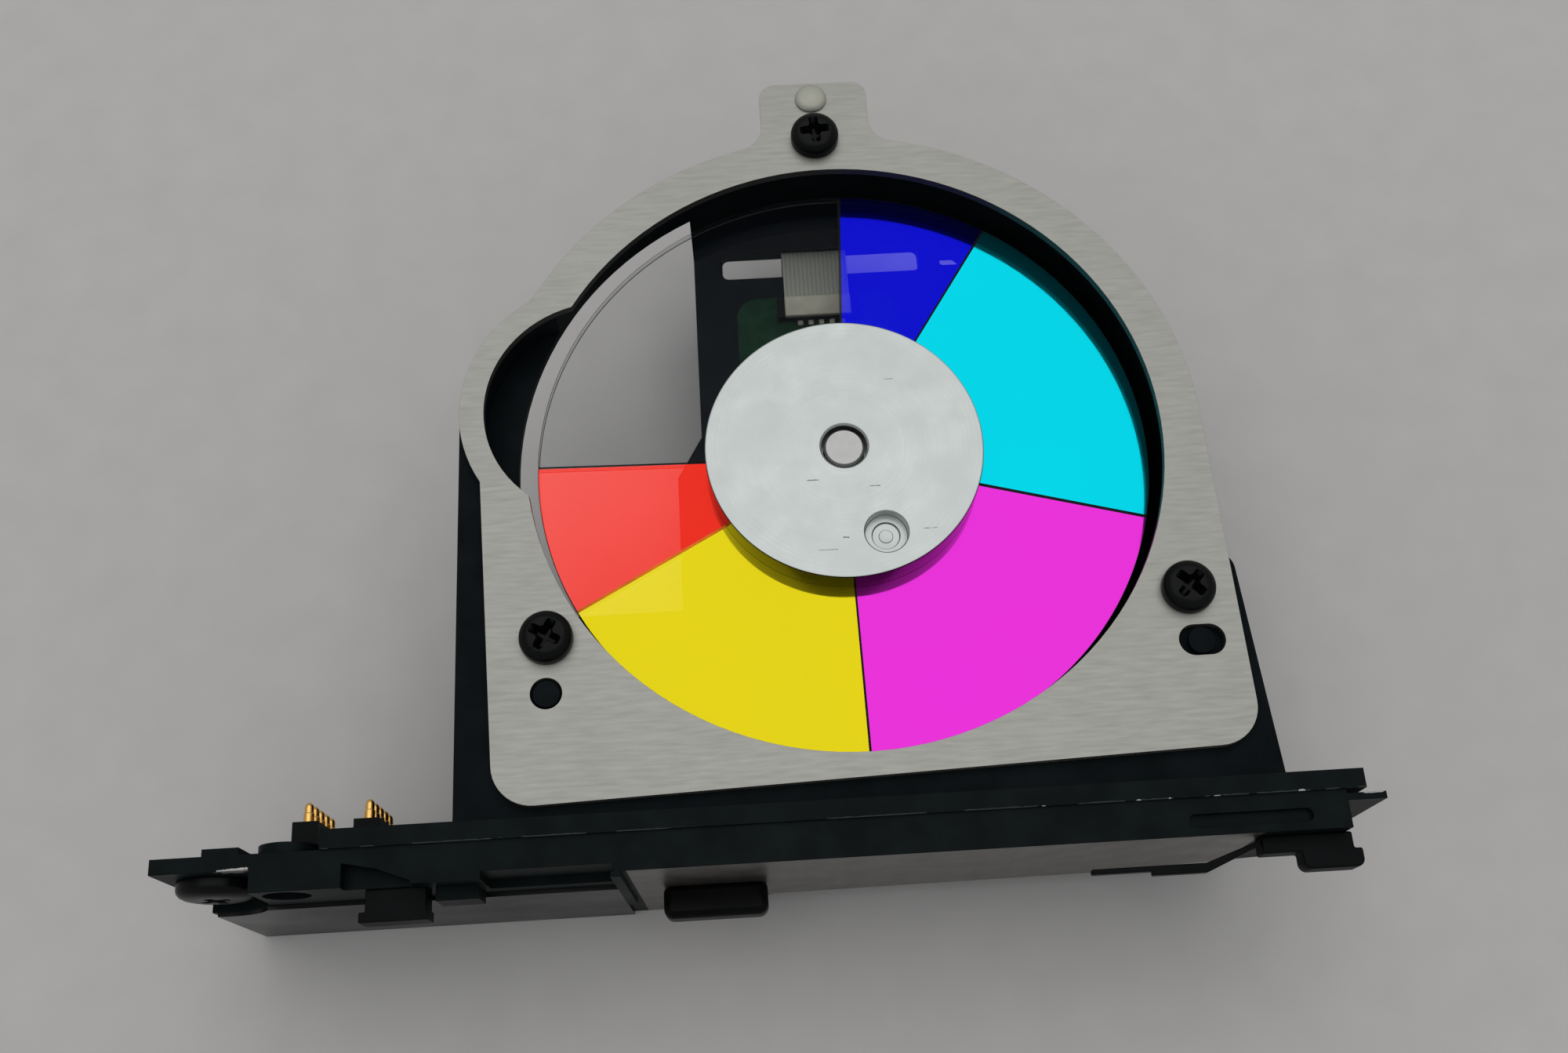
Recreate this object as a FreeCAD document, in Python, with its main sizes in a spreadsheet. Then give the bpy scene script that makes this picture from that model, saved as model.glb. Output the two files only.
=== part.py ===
import FreeCAD, Part
import os
import re

import Sketcher

# Color wheel module of a projector, lying on its back.
# The wheel turns about the Z axis, X runs along the foot flange, and Y runs from the flange to the top lug.
# The plane z = 0 is the one the module lies on. Lengths are in millimetres and angles in degrees.

SIZES = {
    # Depths of the housing, along Z
    "housing_depth": 26.0,
    "cavity_depth": 14.0,
    "back_wall": 2.0,
    "frame_depth": 5.0,
    "lobe_depth": 4.0,
    "lug_depth": 8.0,
    # Ring, lobe and top lug of the housing and of the plate on it
    "ring_radius": 37.8,
    "ring_wall": 2.8,
    "lobe_inset": 12.3,
    "lobe_y": 5.4,
    "lobe_radius": 15.1,
    "lobe_hole_radius": 12.5,
    "lug_left": -6.7,
    "lug_right": 5.6,
    "lug_rise": 7.5,
    "lug_corner": 1.8,
    "neck_corner": 3.0,
    "plate_inset": 0.3,
    # Lower block of the housing
    "block_left_reach": 2.9,
    "block_right_reach": 2.6,
    "block_draft": 1.6,
    "block_low_reach": 0.2,
    "block_top": -13.0,
    "shoulder_y": -14.5,
    "shoulder_corner": 2.0,
    "block_wall": 2.5,
    "corner_pocket_width": 10.5,
    "corner_pocket_height": 8.5,
    "corner_pocket_depth": 17.0,
    # Light opening beside the motor bridge
    "bridge_left": -15.5,
    "bridge_waist_y": 8.0,
    "bridge_foot_left": -18.4,
    "bridge_foot_y": 3.0,
    # Windows in the back wall
    "slot_left": -12.1,
    "slot_right": 11.7,
    "slot_inset": 2.6,
    "slot_width": 3.7,
    "slot_corner": 0.8,
    "window_inset": 0.9,
    "window_angle": 62.0,
    "window_length": 3.6,
    "window_width": 1.8,
    "window_slant": 1.8,
    "window_corner": 0.4,
    # Front plate
    "plate_thickness": 1.0,
    "plate_cover": 1.5,
    "plate_left_reach": 0.5,
    "plate_left_y": -2.6,
    "plate_left_taper": 1.05,
    "plate_left_rise": 1.0,
    "plate_right_reach": 0.8,
    "plate_right_rise": 3.2,
    "plate_corner": 4.2,
    "peg_radius": 1.35,
    "peg_height": 0.8,
    "peg_root": 1.0,
    "peg_hole_radius": 1.6,
    "peg_left_reach": 2.92,
    "peg_left_angle": 219.32,
    "peg_right_reach": 3.96,
    "peg_right_angle": -35.25,
    "peg_slot_length": 4.7,
    # Front plate screws and the rivet above the top one
    "screw_left_inset": 0.46,
    "screw_left_angle": 212.75,
    "screw_right_reach": 0.48,
    "screw_right_angle": -29.25,
    "screw_top_inset": 0.1,
    "screw_top_angle": 91.06,
    "screw_radius": 1.5,
    "screw_length": 6.0,
    "screw_head_radius": 2.7,
    "screw_head_height": 1.9,
    "screw_hole_gap": 0.02,
    "hole_spare": 0.3,
    "head_rounding_ratio": 0.45,
    "recess_reach_ratio": 0.55,
    "recess_width_ratio": 0.14,
    "recess_floor_ratio": 0.45,
    "plate_hole_radius": 1.75,
    "rivet_x": -0.8,
    "rivet_inset": 2.2,
    "rivet_radius": 0.9,
    "rivet_head_radius": 1.8,
    "rivet_head_height": 0.8,
    "rivet_rounding": 0.56,
    "rivet_length": 4.0,
    # Glass wheel
    "glass_gap": 0.5,
    "glass_bore_radius": 9.0,
    "glass_thickness": 1.0,
    "glass_setback": 4.0,
    "seam_angle": 0.14,
    "wheel_angle": 86.7,
    "blue_angle": 30.0,
    "cyan_angle": 72.0,
    "magenta_angle": 74.0,
    "yellow_angle": 62.0,
    "red_angle": 30.0,
    # Hub disc
    "hub_radius": 14.85,
    "hub_height": 3.3,
    "hub_edge": 0.25,
    "hub_hole_radius": 2.45,
    "balance_x": 3.7,
    "balance_y": -10.0,
    "balance_radius": 2.27,
    "balance_depth": 1.3,
    "balance_tip_radius": 1.5,
    "balance_tip_depth": 0.3,
    # Rotor
    "carrier_radius": 13.0,
    "carrier_thickness": 0.6,
    "bell_radius": 12.2,
    "bell_clearance": 1.1,
    "bell_wall": 0.7,
    "magnet_thickness": 1.25,
    "magnet_headroom": 0.3,
    "magnet_setback": 0.4,
    "shaft_radius": 1.5,
    "shaft_head_radius": 2.2,
    "shaft_head_setback": 0.4,
    "shaft_tip_corner": 0.4,
    "mark_thickness": 0.15,
    "mark_angle": 16.0,
    "mark_height": 3.6,
    "seat_gap": 0.02,
    "running_gap": 0.03,
    # Stator and its base
    "base_radius": 12.6,
    "base_thickness": 0.7,
    "base_boss_radius": 1.7,
    "base_boss_height": 1.5,
    "base_screw_circle": 10.4,
    "base_screw_radius": 1.0,
    "base_screw_head_radius": 1.9,
    "base_screw_head_height": 1.2,
    "base_screw_length": 3.8,
    "base_screw_angle": 60.0,
    "sleeve_radius": 3.0,
    "sleeve_headroom": 0.3,
    "shoulder_radius": 4.2,
    "shoulder_height": 1.5,
    "pad_thickness": 0.4,
    "core_headroom": 1.7,
    "core_radius": 9.8,
    "core_slot_count": 9.0,
    "slot_root": 5.2,
    "slot_crown": 8.9,
    "slot_root_width": 1.8,
    "slot_crown_width": 4.2,
    "slot_mouth_width": 0.9,
    "coil_inner": 5.9,
    "coil_outer": 8.5,
    "coil_half_width": 1.7,
    "coil_hole_half_width": 1.12,
    "coil_overhang": 0.7,
    "coil_gap": 0.05,
    # Motor board with its ribbon
    "board_thickness": 0.8,
    "board_disc_radius": 13.4,
    "board_left": -10.6,
    "board_right": 8.6,
    "board_setback": 3.7,
    "board_corner": 2.5,
    "plug_left": -5.9,
    "plug_right": 3.75,
    "plug_setback": 0.8,
    "plug_depth": 2.6,
    "plug_height": 1.7,
    "plug_mouth_depth": 1.6,
    "ribbon_left": -4.9,
    "ribbon_right": 2.75,
    "ribbon_thickness": 0.2,
    "ribbon_rise": 0.8,
    "ribbon_slack": 0.2,
    "ribbon_bend_radius": 2.8,
    "ribbon_gap": 0.03,
    "notch_gap": 0.6,
    "notch_depth": 4.0,
    "sensor_x": 5.6,
    "sensor_y": 15.4,
    "sensor_width": 3.0,
    "sensor_length": 2.2,
    "sensor_height": 2.6,
    # Contact board, its socket and its two rows of spring pins
    "contact_board_left": -58.9,
    "contact_board_right": 6.0,
    "contact_board_thickness": 1.0,
    "contact_board_back": 7.2,
    "contact_board_front": 21.0,
    "socket_length": 3.2,
    "socket_height": 2.4,
    "header_width": 2.6,
    "header_height": 3.1,
    "header_back": 10.4,
    "header_front": 20.8,
    "header_first_x": -56.4,
    "header_second_x": -50.3,
    "pin_radius": 0.525,
    "pin_rise": 2.1,
    "pin_depth": 1.5,
    "pin_tip_corner": 0.45,
    "pin_travel": 1.0,
    "pin_spacing": 2.0,
    "pin_first_z": 11.6,
    "pin_gap": 0.05,
    "board_screw_x": -46.0,
    "board_screw_low": 10.2,
    "board_screw_high": 18.2,
    "board_screw_radius": 0.8,
    "board_screw_head_radius": 1.5,
    "board_screw_head_height": 0.9,
    "board_screw_length": 3.0,
    # Base flange, a plate across the foot of the module
    "flange_reach": 2.1,
    "flange_thickness": 3.7,
    "flange_front": 27.0,
    "flange_left": -66.5,
    "flange_right": 45.6,
    "flange_step_x": -14.0,
    "flange_step_run": 4.0,
    "flange_step_z": 7.0,
    "flange_knee_x": 24.0,
    "flange_knee_z": 8.0,
    "flange_end_z": 13.5,
    "rib_left": -53.1,
    "rib_right": 47.5,
    "rib_back": 22.0,
    "rib_proud": 0.3,
    "ear_left": -69.2,
    "ear_back": 17.0,
    "ear_thickness": 1.5,
    "ear_pad_left": -64.3,
    "ear_pad_right": -60.8,
    "ear_pad_height": 0.7,
    "lip_right": 49.4,
    "lip_setback": 0.4,
    "lip_thickness": 0.7,
    "lip_back": 12.0,
    "boss_inset": 5.8,
    "boss_z": 13.0,
    "boss_radius": 3.2,
    "boss_hole_gap": 0.4,
    "boss_screw_depth": 2.0,
    "pocket_x": -64.6,
    "pocket_z": 21.0,
    "pocket_radius": 4.9,
    "guide_x": -56.8,
    "guide_z": 24.1,
    "guide_radius": 2.9,
    "guide_rise": 1.0,
    "guide_bore_radius": 2.3,
    "guide_floor": 0.7,
    "scoop_left": -51.0,
    "scoop_right": -44.4,
    "scoop_depth": 1.6,
    "scoop_low": 2.3,
    "scoop_middle": 1.6,
    "scoop_high": 0.3,
    "notch_left": -37.8,
    "notch_right": -25.2,
    "notch_back": 21.2,
    "notch_floor": 0.8,
    "fence_x": -25.0,
    "fence_width": 1.0,
    "fence_back": 8.3,
    "fence_proud": 0.5,
    "stop_left": -42.6,
    "stop_right": -38.4,
    "stop_proud": 1.3,
    "stop_back": 20.3,
    "stop_front": 24.0,
    "dish_left": 30.0,
    "dish_right": 42.0,
    "dish_depth": 0.6,
    "dish_margin": 0.8,
    "dish_width": 1.3,
    "dish_corner": 0.6,
    # Cover sheet and ear screw on the flange
    "sheet_left": -66.0,
    "sheet_back": 0.3,
    "sheet_front": 18.6,
    "sheet_thickness": 0.4,
    "ear_screw_head_radius": 3.9,
    "ear_screw_head_height": 1.8,
    "ear_screw_length": 1.4,
    # Hooks, grip and latch on the outer face of the flange
    "hook_left": -49.1,
    "hook_right": -43.3,
    "hook_reach": 3.1,
    "hook_foot": 1.0,
    "hook_toe": 0.6,
    "hook_heel": 0.2,
    "hook_back": 22.0,
    "hook_front": 25.0,
    "grip_left": -21.3,
    "grip_right": -10.7,
    "grip_reach": 3.2,
    "grip_back": 12.3,
    "grip_front": 16.0,
    "grip_corner": 1.0,
    "grip_edge": 0.9,
    "latch_left": 37.2,
    "latch_right": 46.1,
    "latch_reach": 1.7,
    "latch_foot_left": 41.0,
    "latch_foot_right": 46.9,
    "latch_foot_reach": 3.4,
    "latch_foot_thickness": 1.8,
    "latch_corner": 0.8,
    "latch_back": 22.5,
    "latch_front": 25.0,
    "arm_root_reach": 0.35,
    "arm_elbow_x": 31.6,
    "arm_elbow_reach": 2.2,
    "arm_tip_x": 20.5,
    "arm_thickness": 0.5,
    "arm_pad_left": 26.3,
    "arm_pad_reach": 3.1,
    "arm_gap": 0.1,
    "arm_depth": 1.0,
    # How far an open cut runs past the edge it opens
    "overshoot": 1.0,
}

# Places and depths that follow from the sizes above
CAVITY = "(ring_radius - ring_wall)"
PLATE_OPENING = f"({CAVITY} - plate_cover)"
GLASS = f"({PLATE_OPENING} - glass_gap)"
LOBE_X = "(lobe_inset - ring_radius)"
LUG_TOP = "(ring_radius + lug_rise)"
RIVET_Y = f"({LUG_TOP} - rivet_inset)"
BLOCK_LEFT = "(0 - ring_radius - block_left_reach)"
BLOCK_RIGHT = "(ring_radius + block_right_reach)"
BLOCK_BOTTOM = "(0 - ring_radius - block_low_reach)"
FLANGE_INNER = "(ring_radius + flange_reach)"
FLANGE_OUTER = f"({FLANGE_INNER} + flange_thickness)"
BOSS_X = "(ring_radius - boss_inset)"
SLOT_HIGH = f"({CAVITY} - slot_inset)"
SLOT_LOW = f"({SLOT_HIGH} - slot_width)"
BOARD_END = f"({SLOT_LOW} - board_setback)"
PLUG_HIGH = f"({BOARD_END} - plug_setback)"
PLUG_LOW = f"({PLUG_HIGH} - plug_depth)"
BEND_Y = f"({SLOT_LOW} + ribbon_slack)"

FLOOR = "(housing_depth - cavity_depth)"
WALL_REAR = f"({FLOOR} - back_wall)"
FRAME_REAR = "(housing_depth - frame_depth)"
PLATE_FRONT = "(housing_depth + plate_thickness)"
GLASS_FRONT = "(housing_depth - glass_setback)"
GLASS_REAR = f"({GLASS_FRONT} - glass_thickness)"
BASE_TOP = f"({FLOOR} + base_thickness)"
BOARD_TOP = f"({BASE_TOP} + board_thickness)"
BELL_TOP = f"({GLASS_REAR} - carrier_thickness)"
BELL_CEILING = f"({BELL_TOP} - bell_wall)"
BELL_BOTTOM = f"({BOARD_TOP} + bell_clearance)"
CORE_BOTTOM = f"({BOARD_TOP} + shoulder_height)"
CORE_TOP = f"({BELL_CEILING} - core_headroom)"
RIBBON_HIGH = f"({BOARD_TOP} + ribbon_rise)"
RIBBON_LOW = f"({RIBBON_HIGH} - 2 * ribbon_bend_radius)"
CONTACT_FACE = f"({FLANGE_INNER} - contact_board_thickness)"
HEADER_FACE = f"({CONTACT_FACE} - header_height)"
SOCKET_FACE = f"({CONTACT_FACE} - socket_length)"
EAR_FACE = f"({FLANGE_INNER} + ear_thickness)"

# The planes that outlines are drawn on: depths are measured along Z and towards -Y
FRONT = "XY_Plane"
FOOT = "XZ_Plane"

doc = FreeCAD.newDocument("ColorWheelModule")
sheet = doc.addObject("Spreadsheet::Sheet", "Sizes")
for row, (alias, value) in enumerate(SIZES.items(), start=1):
    sheet.set(f"A{row}", alias)
    sheet.set(f"B{row}", str(value))
    sheet.setAlias(f"B{row}", alias)
doc.recompute()

nodes = []


def linked(text):
    """Put the sheet's name before every size that an expression names."""
    return re.sub(r"[a-z_]+", lambda word: f"Sizes.{word[0]}" if word[0] in SIZES else word[0], text)


def size(text):
    """Work out an expression of named sizes."""
    return float(sheet.evalExpression(linked(text)))


def keep(piece, name):
    """Give a finished piece its name and list it for export."""
    piece.Label = name
    nodes.append(piece)
    return piece


def new_body(name):
    """Start a body that becomes one named piece."""
    return keep(doc.addObject("PartDesign::Body", "Body"), name)


def origin_feature(body, role):
    """Find one of a body's own origin planes or axes."""
    return next(feature for feature in body.Origin.OriginFeatures if feature.Role == role)


def pin_point(sketch, geometry, point, x, y):
    """Hold a sketch point at the named distances from the sketch's origin."""
    for kind, expression in (("DistanceX", x), ("DistanceY", y)):
        number = sketch.addConstraint(Sketcher.Constraint(kind, -1, 1, geometry, point, size(expression)))
        sketch.setExpression(f"Constraints[{number}]", linked(expression))


def circle(x, y, radius):
    """Outline: a full circle."""
    def draw(sketch):
        centre = FreeCAD.Vector(size(x), size(y), 0)
        ring = Part.Circle(centre, FreeCAD.Vector(0, 0, 1), size(radius))
        number = sketch.addGeometry(ring)
        pin_point(sketch, number, 3, x, y)
        held = sketch.addConstraint(Sketcher.Constraint("Radius", number, size(radius)))
        sketch.setExpression(f"Constraints[{held}]", linked(radius))
    return draw


def polygon(*corners):
    """Outline: straight lines between corners."""
    def draw(sketch):
        points = [FreeCAD.Vector(size(x), size(y), 0) for x, y in corners]
        lines = [sketch.addGeometry(Part.LineSegment(start, end))
                 for start, end in zip(points, points[1:] + points[:1])]
        for line, following, corner in zip(lines, lines[1:] + lines[:1], corners):
            sketch.addConstraint(Sketcher.Constraint("Coincident", line, 2, following, 1))
            pin_point(sketch, line, 1, *corner)
    return draw


def box(x_low, y_low, x_high, y_high):
    """Outline: a rectangle square to the axes."""
    return polygon((x_low, y_low), (x_high, y_low), (x_high, y_high), (x_low, y_high))


def polar(radius, angle):
    """A place at a radius from the wheel's axis and an angle from +X."""
    return f"{radius} * cos({angle} * 1 deg)", f"{radius} * sin({angle} * 1 deg)"


def new_sketch(body, plane, outline, depth):
    """Draw an outline on a plane that lies at a depth along the plane's normal."""
    sketch = body.newObject("Sketcher::SketchObject", "Sketch")
    sketch.AttachmentSupport = [(origin_feature(body, plane), "")]
    sketch.MapMode = "FlatFace"
    sketch.setExpression("AttachmentOffset.Base.z", linked(depth))
    outline(sketch)
    return sketch


def add(body, plane, outline, low, high):
    """Add an outline's prism between two depths."""
    pad = body.newObject("PartDesign::Pad", "Pad")
    pad.Profile = new_sketch(body, plane, outline, low)
    pad.setExpression("Length", linked(f"({high}) - ({low})"))
    body.Tip = pad
    return pad


def cut(body, plane, outline, low, high):
    """Cut an outline's prism away between two depths."""
    pocket = body.newObject("PartDesign::Pocket", "Pocket")
    pocket.Profile = new_sketch(body, plane, outline, high)
    pocket.setExpression("Length", linked(f"({high}) - ({low})"))
    body.Tip = pocket
    return pocket


def repeat_around(body, features, count):
    """Repeat features evenly about the Z axis."""
    pattern = body.newObject("PartDesign::PolarPattern", "PolarPattern")
    pattern.Originals = features
    pattern.Axis = (origin_feature(body, "Z_Axis"), [""])
    pattern.Angle = 360
    pattern.setExpression("Occurrences", linked(count))
    body.Tip = pattern
    return pattern


def repeat_along(body, features, axis, spacing, count):
    """Repeat features at an even spacing along one axis."""
    pattern = body.newObject("PartDesign::LinearPattern", "LinearPattern")
    pattern.Originals = features
    pattern.Direction = (origin_feature(body, axis), [""])
    pattern.Mode = "Spacing"
    pattern.setExpression("Offset", linked(spacing))
    pattern.Occurrences = count
    body.Tip = pattern
    return pattern


def dress_edges(body, kind, amount, wanted):
    """Fillet or chamfer the edges that a test picks out."""
    doc.recompute()
    base = body.Tip
    names = [f"Edge{number}" for number, edge in enumerate(base.Shape.Edges, start=1) if wanted(edge)]
    feature = body.newObject(f"PartDesign::{kind}", kind)
    feature.Base = (base, names)
    feature.setExpression("Radius" if kind == "Fillet" else "Size", linked(amount))
    body.Tip = feature
    return feature


def straight_through(places, axis):
    """Test for straight edges that run along an axis (0, 1 or 2) through one of the places."""
    others = [number for number in range(3) if number != axis]
    targets = [tuple(size(value) for value in place) for place in places]

    def wanted(edge):
        if edge.Curve.TypeId != "Part::GeomLine" or len(edge.Vertexes) != 2:
            return False
        ends = [vertex.Point for vertex in edge.Vertexes]
        return any(all(abs(end[others[k]] - target[k]) < 0.02 for end in ends for k in (0, 1))
                   for target in targets)
    return wanted


def round_rim(radius, z):
    """Test for circular edges of a radius about a Z-parallel axis at a height."""
    def wanted(edge):
        if edge.Curve.TypeId != "Part::GeomCircle":
            return False
        return abs(edge.Curve.Radius - size(radius)) < 0.01 and abs(edge.Curve.Center.z - size(z)) < 0.01
    return wanted


def place(piece, x="0", y="0", z="0", axis=(0, 0, 1), angle=0):
    """Turn a piece and move it to a named place."""
    piece.Placement = FreeCAD.Placement(FreeCAD.Vector(), FreeCAD.Rotation(FreeCAD.Vector(*axis), angle))
    for letter, expression in zip("xyz", (x, y, z)):
        piece.setExpression(f"Placement.Base.{letter}", linked(expression))
    return piece


def cylinder(radius, low, high, sweep="360", turn="0"):
    """A round bar about the Z axis, or a wedge of it that starts at an angle."""
    bar = doc.addObject("Part::Cylinder", "Cylinder")
    bar.setExpression("Radius", linked(radius))
    bar.setExpression("Height", linked(f"({high}) - ({low})"))
    bar.setExpression("Angle", linked(sweep))
    bar.setExpression("Placement.Base.z", linked(low))
    bar.setExpression("Placement.Rotation.Angle", linked(turn))
    return bar


def brick(x_low, x_high, y_low, y_high, z_low, z_high):
    """A box between named places."""
    block = doc.addObject("Part::Box", "Box")
    for side, low, high in (("Length", x_low, x_high), ("Width", y_low, y_high), ("Height", z_low, z_high)):
        block.setExpression(side, linked(f"({high}) - ({low})"))
    for letter, low in zip("xyz", (x_low, y_low, z_low)):
        block.setExpression(f"Placement.Base.{letter}", linked(low))
    return block


def without(base, tool):
    """The first piece less the second."""
    result = doc.addObject("Part::Cut", "Cut")
    result.Base = base
    result.Tool = tool
    return result


def group(pieces, name):
    """Several equal pieces that share one name."""
    result = doc.addObject("Part::Compound", "Compound")
    result.Links = pieces
    return keep(result, name)


def screw(radius, length, head_radius, head_height):
    """A screw along Z: its head stands on z = 0, and its shank hangs below."""
    body = doc.addObject("PartDesign::Body", "Body")
    add(body, FRONT, circle("0", "0", radius), f"-({length})", "0")
    add(body, FRONT, circle("0", "0", head_radius), "0", head_height)
    dress_edges(body, "Fillet", f"{head_height} * head_rounding_ratio", round_rim(head_radius, head_height))
    reach, width = f"{head_radius} * recess_reach_ratio", f"{head_radius} * recess_width_ratio"
    for across, along in ((reach, width), (width, reach)):
        cut(body, FRONT, box(f"-{across}", f"-{along}", across, along),
            f"{head_height} * recess_floor_ratio", head_height)
    return body


# Housing

def wheel_housing():
    """Casting: a round cavity for the wheel over a deep foot block, open behind the light path."""
    body = new_body("wheel_housing")
    ring = "(ring_radius - plate_inset)"
    add(body, FRONT, circle("0", "0", ring), WALL_REAR, "housing_depth")
    add(body, FRONT, circle(LOBE_X, "lobe_y", "lobe_radius - plate_inset"), FRAME_REAR, "housing_depth")
    left, right, top = "lug_left + plate_inset", "lug_right - plate_inset", f"{LUG_TOP} - plate_inset"
    add(body, FRONT, box(left, "0", right, top), "housing_depth - lug_depth", "housing_depth")
    add(body, FRONT, box(BLOCK_LEFT, "block_top", LOBE_X, "lobe_y"), FRAME_REAR, "housing_depth")
    add(body, FRONT, polygon((BLOCK_LEFT, BLOCK_BOTTOM), (BLOCK_RIGHT, BLOCK_BOTTOM),
                             (f"{BLOCK_RIGHT} - block_draft", "shoulder_y"), (LOBE_X, "shoulder_y"),
                             (LOBE_X, "block_top"), (BLOCK_LEFT, "block_top")), "0", "housing_depth")
    dress_edges(body, "Fillet", "lug_corner", straight_through([(left, top), (right, top)], 2))
    shoulder = [(f"{BLOCK_RIGHT} - block_draft", "shoulder_y")]
    dress_edges(body, "Fillet", "shoulder_corner", straight_through(shoulder, 2))

    cut(body, FRONT, circle("0", "0", CAVITY), FLOOR, "housing_depth")
    cut(body, FRONT, circle(LOBE_X, "lobe_y", "lobe_hole_radius + plate_inset"),
        "housing_depth - lobe_depth", "housing_depth")
    far = "2 * ring_radius"
    cut(body, FRONT, polygon((f"-{far}", "block_top"), ("bridge_foot_left", "block_top"),
                             ("bridge_foot_left", "bridge_foot_y"), ("bridge_left", "bridge_waist_y"),
                             ("bridge_left", far), (f"-{far}", far)), "0", FRAME_REAR)
    cut(body, FRONT, box("slot_left", SLOT_LOW, "slot_right", SLOT_HIGH), WALL_REAR, FLOOR)
    middle_x, middle_y = polar(f"({CAVITY} - window_inset)", "window_angle")
    low, high = f"{middle_y} - window_width / 2", f"{middle_y} + window_width / 2"
    left, right = f"{middle_x} - window_length / 2", f"{middle_x} + window_length / 2"
    window_corners = [(left, low), (right, low), (f"{right} - window_slant", high), (left, high)]
    cut(body, FRONT, polygon(*window_corners), WALL_REAR, FLOOR)
    slot_corners = [(x, y) for x in ("slot_left", "slot_right") for y in (SLOT_LOW, SLOT_HIGH)]
    dress_edges(body, "Fillet", "slot_corner", straight_through(slot_corners, 2))
    dress_edges(body, "Fillet", "window_corner", straight_through(window_corners, 2))

    inner_left = f"({BLOCK_LEFT} + block_wall)"
    inner_right = f"({BLOCK_RIGHT} - block_draft - block_wall)"
    inner_bottom = f"({BLOCK_BOTTOM} + block_wall)"
    cut(body, FRONT, box(inner_left, inner_bottom, inner_right, "block_top - block_wall"), "0", WALL_REAR)
    pocket_top = f"{inner_bottom} + corner_pocket_height"
    cut(body, FRONT, box(inner_left, inner_bottom, f"{inner_left} + corner_pocket_width", pocket_top),
        "0", "corner_pocket_depth")
    cut(body, FRONT, box(f"{inner_right} - corner_pocket_width", inner_bottom, inner_right, pocket_top),
        "0", "corner_pocket_depth")
    passage = box("plug_left - notch_gap", f"{WALL_REAR} - notch_depth", "plug_right + notch_gap", WALL_REAR)
    cut(body, FOOT, passage, "-block_top", "-block_top + block_wall")
    cut(body, FOOT, passage, f"-{BLOCK_BOTTOM} - block_wall", f"-{BLOCK_BOTTOM}")

    for x, y in plate_screw_places():
        cut(body, FRONT, circle(x, y, "screw_radius + screw_hole_gap"),
            f"{PLATE_FRONT} - screw_length - hole_spare", "housing_depth")
    cut(body, FRONT, circle("rivet_x", RIVET_Y, "rivet_radius + screw_hole_gap"),
        f"{PLATE_FRONT} - rivet_length - hole_spare", "housing_depth")
    for x in (BOSS_X, f"-{BOSS_X}"):
        cut(body, FOOT, circle(x, "boss_z", "screw_radius + boss_hole_gap"),
            f"-{BLOCK_BOTTOM} - block_wall", f"-{BLOCK_BOTTOM}")
    for x, y in base_screw_places():
        cut(body, FRONT, circle(x, y, "base_screw_radius + seat_gap"), WALL_REAR, FLOOR)
    for x, y in peg_places():
        add(body, FRONT, circle(x, y, "peg_radius"),
            "housing_depth - peg_root", "housing_depth + peg_height")


def plate_screw_places():
    """Centres of the screws that hold the plate: left, right and top."""
    return [polar("(ring_radius - screw_left_inset)", "screw_left_angle"),
            polar("(ring_radius + screw_right_reach)", "screw_right_angle"),
            polar("(ring_radius - screw_top_inset)", "screw_top_angle")]


def peg_places():
    """Centres of the pegs that place the plate, left and right."""
    return [polar("(ring_radius + peg_left_reach)", "peg_left_angle"),
            polar("(ring_radius + peg_right_reach)", "peg_right_angle")]


def base_screw_places():
    """Centres of the screws that hold the motor, two on the right and one on the left."""
    angles = ("base_screw_angle", "(-base_screw_angle)", "180")
    return [polar("base_screw_circle", angle) for angle in angles]


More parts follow.
